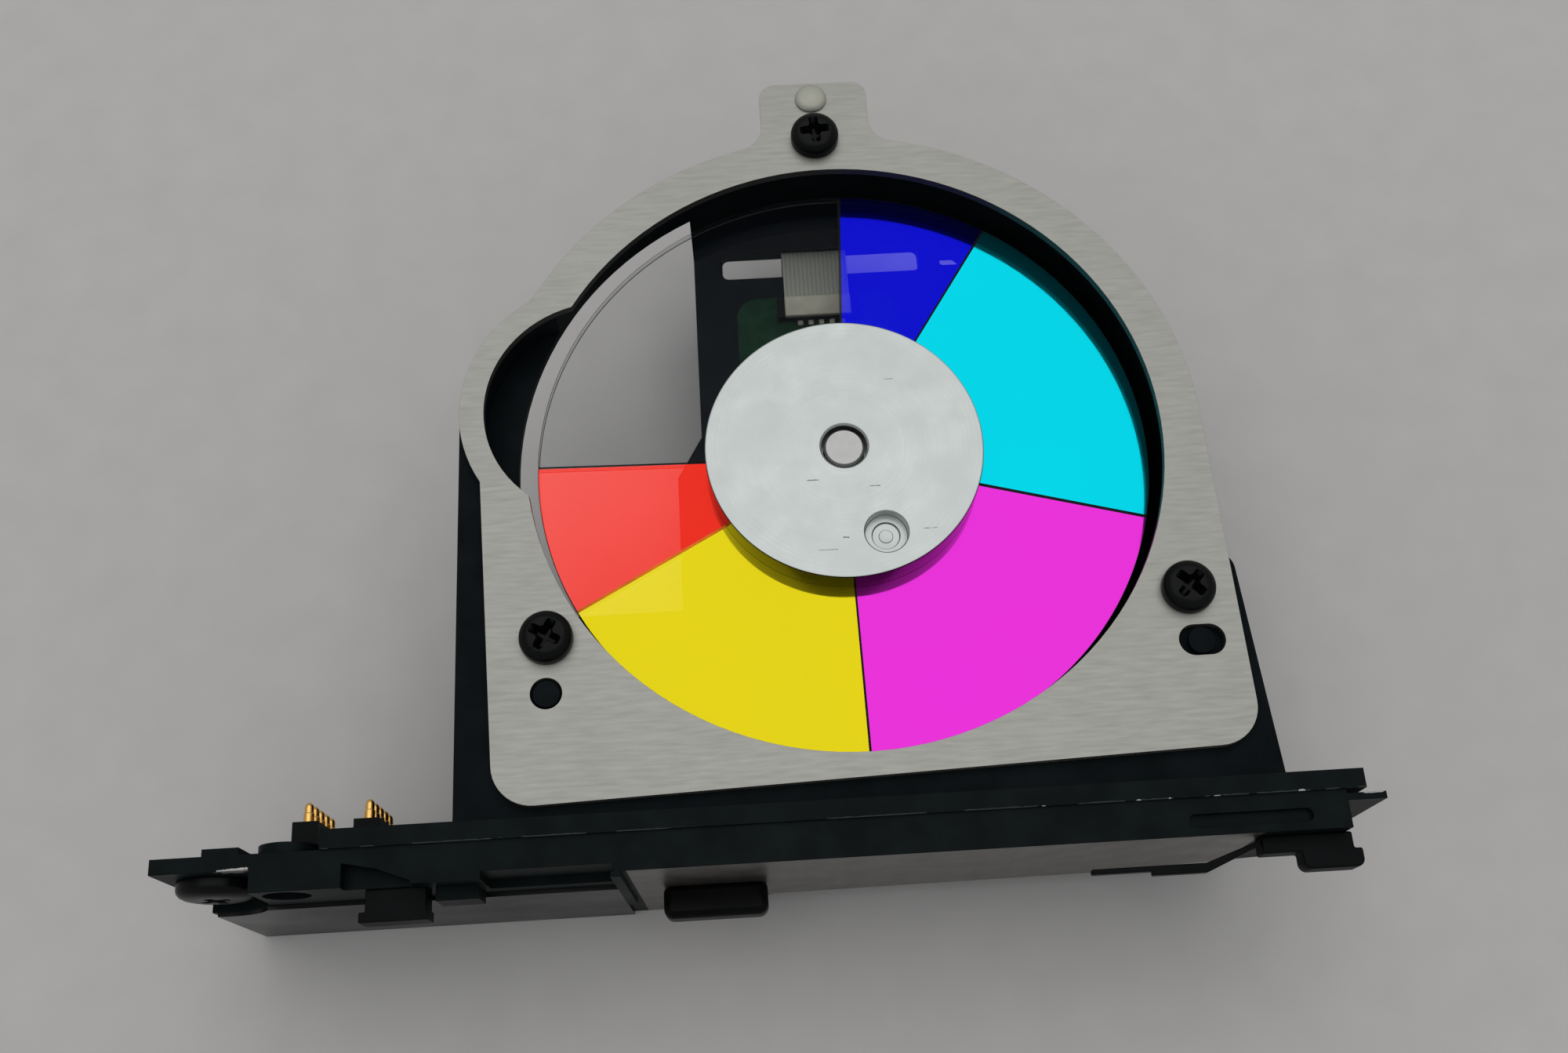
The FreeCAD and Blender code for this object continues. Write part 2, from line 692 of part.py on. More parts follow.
def front_plate():
    """Thin sheet that closes the housing around the wheel."""
    body = new_body("front_plate")
    low = "housing_depth"
    add(body, FRONT, circle("0", "0", "ring_radius"), low, PLATE_FRONT)
    add(body, FRONT, box("lug_left", "0", "lug_right", LUG_TOP), low, PLATE_FRONT)
    left_foot = ("plate_left_taper - ring_radius", f"{BLOCK_BOTTOM} + plate_left_rise")
    right_foot = ("ring_radius + plate_right_reach", f"{BLOCK_BOTTOM} + plate_right_rise")
    add(body, FRONT, polygon(("0 - ring_radius - plate_left_reach", "plate_left_y"), left_foot, right_foot,
                             ("ring_radius", "0")), low, PLATE_FRONT)
    dress_edges(body, "Fillet", "lug_corner",
                straight_through([("lug_left", LUG_TOP), ("lug_right", LUG_TOP)], 2))
    below = f"{BLOCK_BOTTOM} - overshoot"
    cut(body, FRONT, polygon(left_foot, (left_foot[0], below), (right_foot[0], below), right_foot),
        low, PLATE_FRONT)
    dress_edges(body, "Fillet", "plate_corner", straight_through([left_foot, right_foot], 2))
    necks = [(x, f"sqrt(ring_radius ^ 2 - {x} ^ 2)") for x in ("lug_left", "lug_right")]
    dress_edges(body, "Fillet", "neck_corner", straight_through(necks, 2))
    add(body, FRONT, circle(LOBE_X, "lobe_y", "lobe_radius"), low, PLATE_FRONT)
    dress_edges(body, "Fillet", "neck_corner", straight_through([lobe_crossing("ring_radius")], 2))
    cut(body, FRONT, circle("0", "0", PLATE_OPENING), low, PLATE_FRONT)
    cut(body, FRONT, circle(LOBE_X, "lobe_y", "lobe_hole_radius"), low, PLATE_FRONT)
    for x, y in plate_screw_places():
        cut(body, FRONT, circle(x, y, "plate_hole_radius"), low, PLATE_FRONT)
    cut(body, FRONT, circle("rivet_x", RIVET_Y, "rivet_radius + screw_hole_gap"), low, PLATE_FRONT)
    left_peg, (slot_x, slot_y) = peg_places()
    cut(body, FRONT, circle(*left_peg, "peg_hole_radius"), low, PLATE_FRONT)
    half = "(peg_slot_length / 2 - peg_hole_radius)"
    cut(body, FRONT, box(f"{slot_x} - {half}", f"{slot_y} - peg_hole_radius",
                         f"{slot_x} + {half}", f"{slot_y} + peg_hole_radius"), low, PLATE_FRONT)
    for side in ("-", "+"):
        cut(body, FRONT, circle(f"{slot_x} {side} {half}", slot_y, "peg_hole_radius"), low, PLATE_FRONT)


def lobe_crossing(radius):
    """Upper point where the lobe's circle crosses a circle about the wheel's axis."""
    across = f"({LOBE_X} ^ 2 + lobe_y ^ 2)"
    along = f"(({radius} ^ 2 - lobe_radius ^ 2 + {across}) / (2 * {across}))"
    off = f"sqrt({radius} ^ 2 / {across} - {along} ^ 2)"
    return (f"{LOBE_X} * {along} + lobe_y * {off}", f"lobe_y * {along} - {LOBE_X} * {off}")


def plate_fasteners():
    """Three screws and a rivet that hold the plate."""
    screws = []
    for x, y in plate_screw_places():
        piece = screw("screw_radius", "screw_length", "screw_head_radius", "screw_head_height")
        screws.append(place(piece, x, y, PLATE_FRONT))
    group(screws, "plate_screws")
    rivet = new_body("locating_rivet")
    add(rivet, FRONT, circle("rivet_x", RIVET_Y, "rivet_radius"),
        f"{PLATE_FRONT} - rivet_length", PLATE_FRONT)
    top = f"({PLATE_FRONT} + rivet_head_height)"
    add(rivet, FRONT, circle("rivet_x", RIVET_Y, "rivet_head_radius"), PLATE_FRONT, top)
    dress_edges(rivet, "Fillet", "rivet_rounding", round_rim("rivet_head_radius", top))


# Wheel

def glass_segments():
    """Six wedges of one glass ring, listed clockwise from the clear one's end."""
    wedges = [("segment_blue", "blue_angle"), ("segment_cyan", "cyan_angle"),
              ("segment_magenta", "magenta_angle"), ("segment_yellow", "yellow_angle"),
              ("segment_red", "red_angle")]
    used = " + ".join(angle for _, angle in wedges)
    wedges.append(("segment_clear", f"(360 - ({used}))"))
    end = "wheel_angle"
    for name, angle in wedges:
        end = f"{end} - {angle}"
        wedge = cylinder(GLASS, GLASS_REAR, GLASS_FRONT, f"{angle} - seam_angle",
                         f"{end} + seam_angle / 2")
        bore = cylinder("glass_bore_radius", GLASS_REAR, GLASS_FRONT)
        keep(without(wedge, bore), name)


def hub_disc():
    """Turned disc on the glass, with the shaft's hole and one blind balance hole."""
    body = new_body("hub_disc")
    top = f"({GLASS_FRONT} + hub_height)"
    add(body, FRONT, circle("0", "0", "hub_radius"), GLASS_FRONT, top)
    dress_edges(body, "Chamfer", "hub_edge", round_rim("hub_radius", top))
    cut(body, FRONT, circle("0", "0", "hub_hole_radius"), GLASS_FRONT, top)
    balance_floor = f"({top} - balance_depth)"
    cut(body, FRONT, circle("balance_x", "balance_y", "balance_radius"), balance_floor, top)
    cut(body, FRONT, circle("balance_x", "balance_y", "balance_tip_radius"),
        f"{balance_floor} - balance_tip_depth", balance_floor)


def wheel_carrier():
    """Disc behind the glass with a spigot that centres it."""
    body = new_body("wheel_carrier")
    add(body, FRONT, circle("0", "0", "carrier_radius"), BELL_TOP, GLASS_REAR)
    add(body, FRONT, circle("0", "0", "glass_bore_radius - seat_gap"), GLASS_REAR, GLASS_FRONT)
    cut(body, FRONT, circle("0", "0", "shaft_head_radius + seat_gap"), BELL_TOP, GLASS_FRONT)


def rotor():
    """Bell with its ring magnet, the shaft, and the mark that the sensor reads."""
    bell = new_body("rotor_bell")
    add(bell, FRONT, circle("0", "0", "bell_radius"), BELL_BOTTOM, BELL_TOP)
    cut(bell, FRONT, circle("0", "0", "bell_radius - bell_wall"), BELL_BOTTOM, BELL_CEILING)
    cut(bell, FRONT, circle("0", "0", "shaft_radius + seat_gap"), BELL_CEILING, BELL_TOP)

    magnet = new_body("rotor_magnet")
    outer = "(bell_radius - bell_wall - seat_gap)"
    low, high = f"({BELL_BOTTOM} + magnet_setback)", f"({BELL_CEILING} - magnet_headroom)"
    add(magnet, FRONT, circle("0", "0", outer), low, high)
    cut(magnet, FRONT, circle("0", "0", f"{outer} - magnet_thickness"), low, high)

    shaft = new_body("shaft")
    foot = f"({FLOOR} + pad_thickness + running_gap)"
    head = f"({GLASS_FRONT} + hub_height - shaft_head_setback)"
    add(shaft, FRONT, circle("0", "0", "shaft_radius"), foot, BELL_TOP)
    add(shaft, FRONT, circle("0", "0", "shaft_head_radius"), BELL_TOP, head)
    dress_edges(shaft, "Fillet", "shaft_tip_corner", round_rim("shaft_radius", foot))
    dress_edges(shaft, "Chamfer", "hub_edge", round_rim("shaft_head_radius", head))

    middle = f"({BELL_TOP} / 2 + {BELL_BOTTOM} / 2)"
    low = f"({middle} - mark_height / 2)"
    high = f"({middle} + mark_height / 2)"
    toward_sensor = "atan2(sensor_y; sensor_x) / 1 deg"
    patch = cylinder("bell_radius + mark_thickness", low, high, "mark_angle",
                     f"{toward_sensor} - mark_angle / 2")
    keep(without(patch, cylinder("bell_radius", low, high)), "index_mark")


# Motor's standing parts

def motor_base():
    """Steel base with three bosses that take the motor screws."""
    body = new_body("motor_base")
    add(body, FRONT, circle("0", "0", "base_radius"), FLOOR, BASE_TOP)
    for x, y in base_screw_places():
        add(body, FRONT, circle(x, y, "base_boss_radius"), FLOOR, f"{BASE_TOP} + base_boss_height")
        cut(body, FRONT, circle(x, y, "base_screw_radius + seat_gap"),
            FLOOR, f"{BASE_TOP} + base_boss_height")
    cut(body, FRONT, circle("0", "0", "sleeve_radius + seat_gap"), FLOOR, BASE_TOP)
    screws = []
    for x, y in base_screw_places():
        piece = screw("base_screw_radius", "base_screw_length", "base_screw_head_radius",
                      "base_screw_head_height")
        screws.append(place(piece, x, y, WALL_REAR, (1, 0, 0), 180))
    group(screws, "motor_screws")


def bearing():
    """Sintered sleeve with a shoulder, and the thrust pad below the shaft."""
    sleeve = new_body("bearing_sleeve")
    low = f"({FLOOR} + pad_thickness)"
    top = f"({BELL_CEILING} - sleeve_headroom)"
    add(sleeve, FRONT, circle("0", "0", "sleeve_radius"), low, top)
    add(sleeve, FRONT, circle("0", "0", "shoulder_radius"), BOARD_TOP, CORE_BOTTOM)
    cut(sleeve, FRONT, circle("0", "0", "shaft_radius + running_gap"), low, top)
    pad = new_body("thrust_pad")
    add(pad, FRONT, circle("0", "0", "sleeve_radius"), FLOOR, low)


def stator():
    """Slotted core with one coil on each tooth."""
    core = new_body("stator_core")
    add(core, FRONT, circle("0", "0", "core_radius"), CORE_BOTTOM, CORE_TOP)
    cut(core, FRONT, circle("0", "0", "sleeve_radius + seat_gap"), CORE_BOTTOM, CORE_TOP)
    root, crown, mouth = "slot_root_width / 2", "slot_crown_width / 2", "slot_mouth_width / 2"
    beyond = "core_radius + overshoot"
    slot = polygon(("slot_root", f"-{root}"), ("slot_crown", f"-{crown}"), ("slot_crown", f"-{mouth}"),
                   (beyond, f"-{mouth}"), (beyond, mouth), ("slot_crown", mouth),
                   ("slot_crown", crown), ("slot_root", root))
    repeat_around(core, [cut(core, FRONT, slot, CORE_BOTTOM, CORE_TOP)], "core_slot_count")
    coils = []
    count = round(size("core_slot_count"))
    for number in range(count):
        outside = brick("coil_inner", "coil_outer", "-coil_half_width", "coil_half_width",
                        f"{CORE_BOTTOM} - coil_overhang", f"{CORE_TOP} + coil_overhang")
        inside = brick("coil_inner", "coil_outer", "-coil_hole_half_width", "coil_hole_half_width",
                       f"{CORE_BOTTOM} - coil_gap", f"{CORE_TOP} + coil_gap")
        coils.append(place(without(outside, inside), angle=360 * (number + 0.5) / count))
    group(coils, "stator_coils")


def motor_board():
    """Green board under the rotor, with the ribbon connector and the index sensor."""
    board = new_body("motor_board")
    add(board, FRONT, circle("0", "0", "board_disc_radius"), BASE_TOP, BOARD_TOP)
    add(board, FRONT, box("board_left", "0", "board_right", BOARD_END), BASE_TOP, BOARD_TOP)
    dress_edges(board, "Fillet", "board_corner",
                straight_through([("board_left", BOARD_END), ("board_right", BOARD_END)], 2))
    cut(board, FRONT, circle("0", "0", "sleeve_radius + seat_gap"), BASE_TOP, BOARD_TOP)
    for x, y in base_screw_places():
        cut(board, FRONT, circle(x, y, "base_boss_radius + seat_gap"), BASE_TOP, BOARD_TOP)

    connector = new_body("ribbon_connector")
    add(connector, FRONT, box("plug_left", PLUG_LOW, "plug_right", PLUG_HIGH),
        BOARD_TOP, f"{BOARD_TOP} + plug_height")
    mouth = ribbon_section(RIBBON_HIGH, "ribbon_gap")
    cut(connector, FOOT, mouth, f"-{PLUG_HIGH}", f"-{PLUG_HIGH} + plug_mouth_depth")

    sensor = new_body("index_sensor")
    add(sensor, FRONT, box("sensor_x - sensor_width / 2", "sensor_y - sensor_length / 2",
                           "sensor_x + sensor_width / 2", "sensor_y + sensor_length / 2"),
        BOARD_TOP, f"{BOARD_TOP} + sensor_height")


def ribbon_section(centre, gap):
    """Cross section of the ribbon at a height, widened by a gap."""
    half = f"(ribbon_thickness / 2 + {gap})"
    return box(f"ribbon_left - {gap}", f"{centre} - {half}", f"ribbon_right + {gap}", f"{centre} + {half}")


def ribbon():
    """Flat ribbon: up from the board, back through the slot, and down behind the wall."""
    body = new_body("ribbon")
    near_end = f"({PLUG_HIGH} - plug_mouth_depth + ribbon_gap)"
    add(body, FOOT, ribbon_section(RIBBON_HIGH, "0"), f"-{BEND_Y}", f"-{near_end}")
    bend = body.newObject("PartDesign::Revolution", "Revolution")
    half = "ribbon_thickness / 2"
    section = box("ribbon_left", f"ribbon_bend_radius - {half}",
                  "ribbon_right", f"ribbon_bend_radius + {half}")
    profile = new_sketch(body, FOOT, section, f"-{BEND_Y}")
    profile.setExpression("AttachmentOffset.Base.y", linked(f"{RIBBON_HIGH} - ribbon_bend_radius"))
    bend.Profile = profile
    bend.ReferenceAxis = (profile, ["H_Axis"])
    bend.Angle = 180
    bend.Reversed = True
    body.Tip = bend
    add(body, FOOT, ribbon_section(RIBBON_LOW, "0"), f"-{BEND_Y}",
        f"{SOCKET_FACE} + plug_mouth_depth - ribbon_gap")


# Contacts on the flange

def contact_board():
    """Board along the flange that carries the socket and the two headers."""
    board = new_body("contact_board")
    add(board, FOOT, box("contact_board_left", "contact_board_back", "contact_board_right",
                         "contact_board_front"), CONTACT_FACE, FLANGE_INNER)
    cut(board, FOOT, circle(f"-{BOSS_X}", "boss_z", "boss_radius + boss_hole_gap"),
        CONTACT_FACE, FLANGE_INNER)
    for z in ("board_screw_low", "board_screw_high"):
        cut(board, FOOT, circle("board_screw_x", z, "board_screw_radius + seat_gap"),
            CONTACT_FACE, FLANGE_INNER)
    screws = []
    for z in ("board_screw_low", "board_screw_high"):
        piece = screw("board_screw_radius", "board_screw_length", "board_screw_head_radius",
                      "board_screw_head_height")
        screws.append(place(piece, "board_screw_x", f"-{CONTACT_FACE}", z, (1, 0, 0), -90))
    group(screws, "board_screws")

    socket = new_body("board_connector")
    half = "socket_height / 2"
    add(socket, FOOT, box("plug_left", f"{RIBBON_LOW} - {half}", "plug_right", f"{RIBBON_LOW} + {half}"),
        SOCKET_FACE, CONTACT_FACE)
    cut(socket, FOOT, ribbon_section(RIBBON_LOW, "ribbon_gap"), SOCKET_FACE,
        f"{SOCKET_FACE} + plug_mouth_depth")


def contact_row(letter, centre):
    """One header and its row of round-tipped spring pins."""
    header = new_body(f"contact_header_{letter}")
    add(header, FOOT, box(f"{centre} - header_width / 2", "header_back",
                          f"{centre} + header_width / 2", "header_front"), HEADER_FACE, CONTACT_FACE)
    count = 5
    hole = cut(header, FOOT, circle(centre, "pin_first_z", "pin_radius + pin_gap"),
               HEADER_FACE, f"{HEADER_FACE} + pin_depth + pin_travel + pin_gap")
    repeat_along(header, [hole], "Z_Axis", "pin_spacing", count)
    pins = []
    for number in range(count):
        pin = doc.addObject("PartDesign::Body", "Body")
        add(pin, FRONT, circle("0", "0", "pin_radius"), "-pin_depth", "pin_rise")
        dress_edges(pin, "Fillet", "pin_tip_corner", round_rim("pin_radius", "pin_rise"))
        pins.append(place(pin, centre, f"-{HEADER_FACE}", f"pin_first_z + {number} * pin_spacing",
                          (1, 0, 0), -90))
    group(pins, f"contact_pins_{letter}")


# Flange

def base_flange():
    """Plate across the foot, with a front rib, a thin ear, a lip, bosses and shallow recesses."""
    body = new_body("base_flange")
    step_end = "(flange_step_x + flange_step_run)"
    add(body, FOOT, polygon(("flange_left", "0"), ("flange_step_x", "0"), (step_end, "flange_step_z"),
                            ("flange_knee_x", "flange_knee_z"), ("flange_right", "flange_end_z"),
                            ("flange_right", "flange_front"), ("flange_left", "flange_front")),
        FLANGE_INNER, FLANGE_OUTER)
    add(body, FOOT, box("ear_left", "ear_back", "pocket_x", "flange_front"), FLANGE_INNER, EAR_FACE)
    add(body, FOOT, box("rib_left", "rib_back", "rib_right", "flange_front + rib_proud"),
        f"-{BLOCK_BOTTOM}", FLANGE_INNER)
    add(body, FOOT, box("ear_pad_left", "ear_back", "ear_pad_right", "flange_front"),
        f"{FLANGE_INNER} - ear_pad_height", FLANGE_INNER)
    lip = f"({FLANGE_INNER} + lip_setback)"
    add(body, FOOT, box(BOSS_X, "lip_back", "lip_right", "flange_front"), lip, f"{lip} + lip_thickness")
    for x in (BOSS_X, f"-{BOSS_X}"):
        add(body, FOOT, circle(x, "boss_z", "boss_radius"), f"-{BLOCK_BOTTOM}", FLANGE_INNER)
    add(body, FOOT, circle("guide_x", "guide_z", "guide_radius"),
        f"{FLANGE_INNER} - guide_rise", FLANGE_INNER)
    add(body, FOOT, box("stop_left", "stop_back", "stop_right", "stop_front"),
        FLANGE_OUTER, f"{FLANGE_OUTER} + stop_proud")
    fence = box("fence_x - fence_width / 2", "fence_back", "fence_x + fence_width / 2", "flange_front")
    add(body, FOOT, fence, FLANGE_OUTER, f"{FLANGE_OUTER} + fence_proud")

    beyond = f"{FLANGE_OUTER} + overshoot"
    cut(body, FOOT, circle("pocket_x", "pocket_z", "pocket_radius"), EAR_FACE, beyond)
    cut(body, FOOT, box("ear_left", "pocket_z", "pocket_x + pocket_radius", "flange_front + overshoot"),
        EAR_FACE, beyond)
    cut(body, FOOT, box("ear_left", "ear_back", "pocket_x", "flange_front + overshoot"), EAR_FACE, beyond)
    cut(body, FOOT, circle("pocket_x", "pocket_z", "screw_radius + screw_hole_gap"), FLANGE_INNER, EAR_FACE)
    cut(body, FOOT, circle("guide_x", "guide_z", "guide_bore_radius"),
        f"{FLANGE_INNER} - guide_rise + guide_floor", FLANGE_OUTER)
    cut(body, FOOT, box("notch_left", "notch_back", "notch_right", "flange_front + overshoot"),
        f"{FLANGE_OUTER} - notch_floor", FLANGE_OUTER)
    cut(body, FRONT, polygon(("scoop_left", f"scoop_low - {FLANGE_OUTER}"),
                             ("scoop_left / 2 + scoop_right / 2", f"scoop_middle - {FLANGE_OUTER}"),
                             ("scoop_right", f"scoop_high - {FLANGE_OUTER}"),
                             ("scoop_right", f"-{FLANGE_OUTER}"), ("scoop_left", f"-{FLANGE_OUTER}")),
        "flange_front - scoop_depth", "flange_front")
    dish_low, dish_high = f"dish_margin - {FLANGE_OUTER}", f"dish_margin + dish_width - {FLANGE_OUTER}"
    cut(body, FRONT, box("dish_left", dish_low, "dish_right", dish_high),
        "flange_front - dish_depth", "flange_front")
    dish_corners = [(x, y) for x in ("dish_left", "dish_right") for y in (dish_low, dish_high)]
    dress_edges(body, "Fillet", "dish_corner", straight_through(dish_corners, 2))
    for x in (BOSS_X, f"-{BOSS_X}"):
        cut(body, FOOT, circle(x, "boss_z", "screw_radius + screw_hole_gap"),
            f"-{BLOCK_BOTTOM}", f"{FLANGE_INNER} + boss_screw_depth")
    for z in ("board_screw_low", "board_screw_high"):
        cut(body, FOOT, circle("board_screw_x", z, "board_screw_radius + screw_hole_gap"),
            FLANGE_INNER, f"{CONTACT_FACE} + board_screw_length + hole_spare")


def flange_fittings():
    """Screws, cover sheet, hook and grip on the flange."""
    screws = []
    for x in (f"-{BOSS_X}", BOSS_X):
        piece = screw("screw_radius", "screw_length", "screw_head_radius", "screw_head_height")
        screws.append(place(piece, x, f"{BLOCK_BOTTOM} + block_wall", "boss_z", (1, 0, 0), -90))
    group(screws, "flange_screws")

    ear_screw = screw("screw_radius", "ear_screw_length", "ear_screw_head_radius", "ear_screw_head_height")
    keep(place(ear_screw, "pocket_x", f"-{EAR_FACE}", "pocket_z", (1, 0, 0), 90), "ear_screw")

    cover = new_body("cover_sheet")
    add(cover, FOOT, box("sheet_left", "sheet_back", "fence_x - fence_width / 2 - seat_gap", "sheet_front"),
        FLANGE_OUTER, f"{FLANGE_OUTER} + sheet_thickness")
    cut(cover, FOOT, circle("pocket_x", "pocket_z", "pocket_radius"),
        FLANGE_OUTER, f"{FLANGE_OUTER} + sheet_thickness")

    hook = new_body("left_hook")
    neck = f"-({FLANGE_OUTER} + hook_reach - hook_foot)"
    toe = f"-({FLANGE_OUTER} + hook_reach)"
    add(hook, FRONT, polygon(("hook_left", f"-{FLANGE_OUTER}"), ("hook_left", neck),
                             ("hook_left - hook_toe", neck), ("hook_left - hook_toe", toe),
                             ("hook_right + hook_heel", toe), ("hook_right + hook_heel", neck),
                             ("hook_right", neck), ("hook_right", f"-{FLANGE_OUTER}")),
        "hook_back", "hook_front")

    grip = new_body("grip_block")
    face = f"-({FLANGE_OUTER} + grip_reach)"
    add(grip, FOOT, box("grip_left", "grip_back", "grip_right", "grip_front"),
        FLANGE_OUTER, f"{FLANGE_OUTER} + grip_reach")
    dress_edges(grip, "Fillet", "grip_corner",
                straight_through([("grip_left", face), ("grip_right", face)], 2))
    dress_edges(grip, "Fillet", "grip_edge",
                straight_through([(face, "grip_back"), (face, "grip_front")], 0))


def latch():
    """Block with a rounded foot at the right end, and the springy arm that starts at it."""
    block = new_body("latch_block")
    add(block, FRONT, box("latch_left", f"-({FLANGE_OUTER} + latch_reach)",
                          "latch_right", f"-{FLANGE_OUTER}"), "latch_back", "latch_front")
    foot = f"({FLANGE_OUTER} + latch_foot_reach)"
    add(block, FRONT, box("latch_foot_left", f"-{foot}", "latch_foot_right",
                          f"latch_foot_thickness - {foot}"), "latch_back", "latch_front")
    dress_edges(block, "Fillet", "latch_corner",
                straight_through([("latch_foot_left", f"-{foot}"), ("latch_foot_right", f"-{foot}")], 2))

    arm = new_body("latch_arm")
    half = "arm_thickness / 2"
    root = f"-({FLANGE_OUTER} + arm_root_reach + arm_thickness / 2)"
    elbow = f"-({FLANGE_OUTER} + arm_elbow_reach + arm_thickness / 2)"
    add(arm, FRONT, polygon(("latch_left - arm_gap", f"{root} + {half}"),
                            ("arm_elbow_x", f"{elbow} + {half}"),
                            ("arm_tip_x", f"{elbow} + {half}"), ("arm_tip_x", f"{elbow} - {half}"),
                            ("arm_pad_left", f"{elbow} - {half}"),
                            ("arm_pad_left", f"-({FLANGE_OUTER} + arm_pad_reach)"),
                            ("arm_elbow_x", f"-({FLANGE_OUTER} + arm_pad_reach)"),
                            ("latch_left - arm_gap", f"{root} - {half}")),
        "latch_front - arm_depth", "latch_front")


def check_and_export():
    """Stop on any failed object, then write every named piece to its own file."""
    doc.recompute()
    for item in doc.Objects:
        if "Invalid" in item.State or "Error" in item.State:
            raise RuntimeError(f"{item.Label} ({item.Name}) failed: {item.State}")
    for piece in nodes:
        if piece.Shape.isNull() or not piece.Shape.isValid():
            raise RuntimeError(f"{piece.Label} has no valid shape")
    os.makedirs("parts", exist_ok=True)
    for piece in nodes:
        piece.Shape.exportStep(f"parts/{piece.Label}.step")
        print(f"{piece.Label}: {len(piece.Shape.Solids)} solid(s), {piece.Shape.Volume:.1f} mm3")


wheel_housing()
front_plate()
plate_fasteners()
glass_segments()
hub_disc()
wheel_carrier()
rotor()
motor_base()
bearing()
stator()
motor_board()
ribbon()
contact_board()
contact_row("a", "header_first_x")
contact_row("b", "header_second_x")
base_flange()
flange_fittings()
latch()
check_and_export()
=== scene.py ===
"""Looks of a projector's color wheel module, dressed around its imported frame."""

from __future__ import annotations

import logging
import math
from dataclasses import dataclass
from enum import Enum
from typing import Sequence

import bpy
from mathutils import Matrix, Vector

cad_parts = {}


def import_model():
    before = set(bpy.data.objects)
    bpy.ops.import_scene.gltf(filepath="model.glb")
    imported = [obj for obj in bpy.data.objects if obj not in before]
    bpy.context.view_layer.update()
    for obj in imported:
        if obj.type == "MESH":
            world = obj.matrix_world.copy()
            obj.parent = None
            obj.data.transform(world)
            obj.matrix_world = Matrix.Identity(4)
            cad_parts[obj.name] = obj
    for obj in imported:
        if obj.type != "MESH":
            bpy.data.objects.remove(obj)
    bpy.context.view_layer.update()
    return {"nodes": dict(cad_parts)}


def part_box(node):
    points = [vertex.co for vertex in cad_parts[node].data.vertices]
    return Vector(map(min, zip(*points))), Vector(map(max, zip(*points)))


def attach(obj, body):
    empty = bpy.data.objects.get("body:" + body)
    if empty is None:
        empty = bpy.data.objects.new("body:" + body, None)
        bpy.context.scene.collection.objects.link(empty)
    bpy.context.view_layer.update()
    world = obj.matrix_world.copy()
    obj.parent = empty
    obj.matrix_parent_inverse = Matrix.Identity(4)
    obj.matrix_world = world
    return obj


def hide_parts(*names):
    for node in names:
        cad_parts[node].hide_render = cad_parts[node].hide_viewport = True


log = logging.getLogger("color_wheel")

MM = 0.001
Color = tuple[float, float, float]
Point = tuple[float, float, float]
Pair = tuple[float, float]
Spot = tuple[Point, Point]


class Body(Enum):
    """The parts of the module that move as one."""

    MODULE = "module"
    WHEEL = "wheel"
    PIN_ROW_A = "pin_row_a"
    PIN_ROW_B = "pin_row_b"
    LATCH = "latch"


class Grain(Enum):
    """How the fine surface lines of a bare metal run."""

    ROLLED = "rolled"
    TURNED = "turned"
    CAST = "cast"


# Modelling


def deselect_all() -> None:
    """Leave object mode with nothing selected."""
    if bpy.context.object is not None and bpy.context.object.mode != "OBJECT":
        bpy.ops.object.mode_set(mode="OBJECT")
    bpy.ops.object.select_all(action="DESELECT")


def select_only(piece: bpy.types.Object) -> None:
    """Make one piece the selected and active one.

    Args:
        piece: The piece to select.
    """
    deselect_all()
    piece.select_set(True)
    bpy.context.view_layer.objects.active = piece


def named(name: str) -> bpy.types.Object:
    """Name the piece that was just added and settle its place into its mesh.

    Args:
        name: The piece's name.

    Returns:
        The piece.
    """
    piece = bpy.context.active_object
    piece.name = name
    piece.data.name = name
    bpy.ops.object.transform_apply(location=True, rotation=True, scale=True)
    return piece


def pick_bottom(piece: bpy.types.Object) -> None:
    """Select the faces of a piece that look down, and stay in edit mode.

    Args:
        piece: The piece whose faces are picked.
    """
    bpy.ops.object.mode_set(mode="EDIT")
    bpy.ops.mesh.select_mode(type="FACE")
    bpy.ops.mesh.select_all(action="DESELECT")
    bpy.ops.object.mode_set(mode="OBJECT")
    for face in piece.data.polygons:
        face.select = face.normal.z < -0.1
    bpy.ops.object.mode_set(mode="EDIT")


def face_out() -> None:
    """Merge doubles, turn every face outwards and return to object mode."""
    bpy.ops.mesh.select_all(action="SELECT")
    bpy.ops.mesh.remove_doubles(threshold=1e-7)
    bpy.ops.mesh.normals_make_consistent(inside=False)
    bpy.ops.object.mode_set(mode="OBJECT")


def smooth(piece: bpy.types.Object, degrees: float = 35.0) -> bpy.types.Object:
    """Shade a piece smooth except across its sharp edges, with its wide faces kept flat.

    Args:
        piece: The piece to shade.
        degrees: Edges sharper than this angle stay sharp.

    Returns:
        The piece.
    """
    select_only(piece)
    bpy.ops.object.shade_smooth_by_angle(angle=math.radians(degrees))
    flattening = piece.modifiers.new("flattening", "WEIGHTED_NORMAL")
    flattening.keep_sharp = True
    flattening.weight = 100
    bpy.ops.object.modifier_apply(modifier=flattening.name)
    return piece


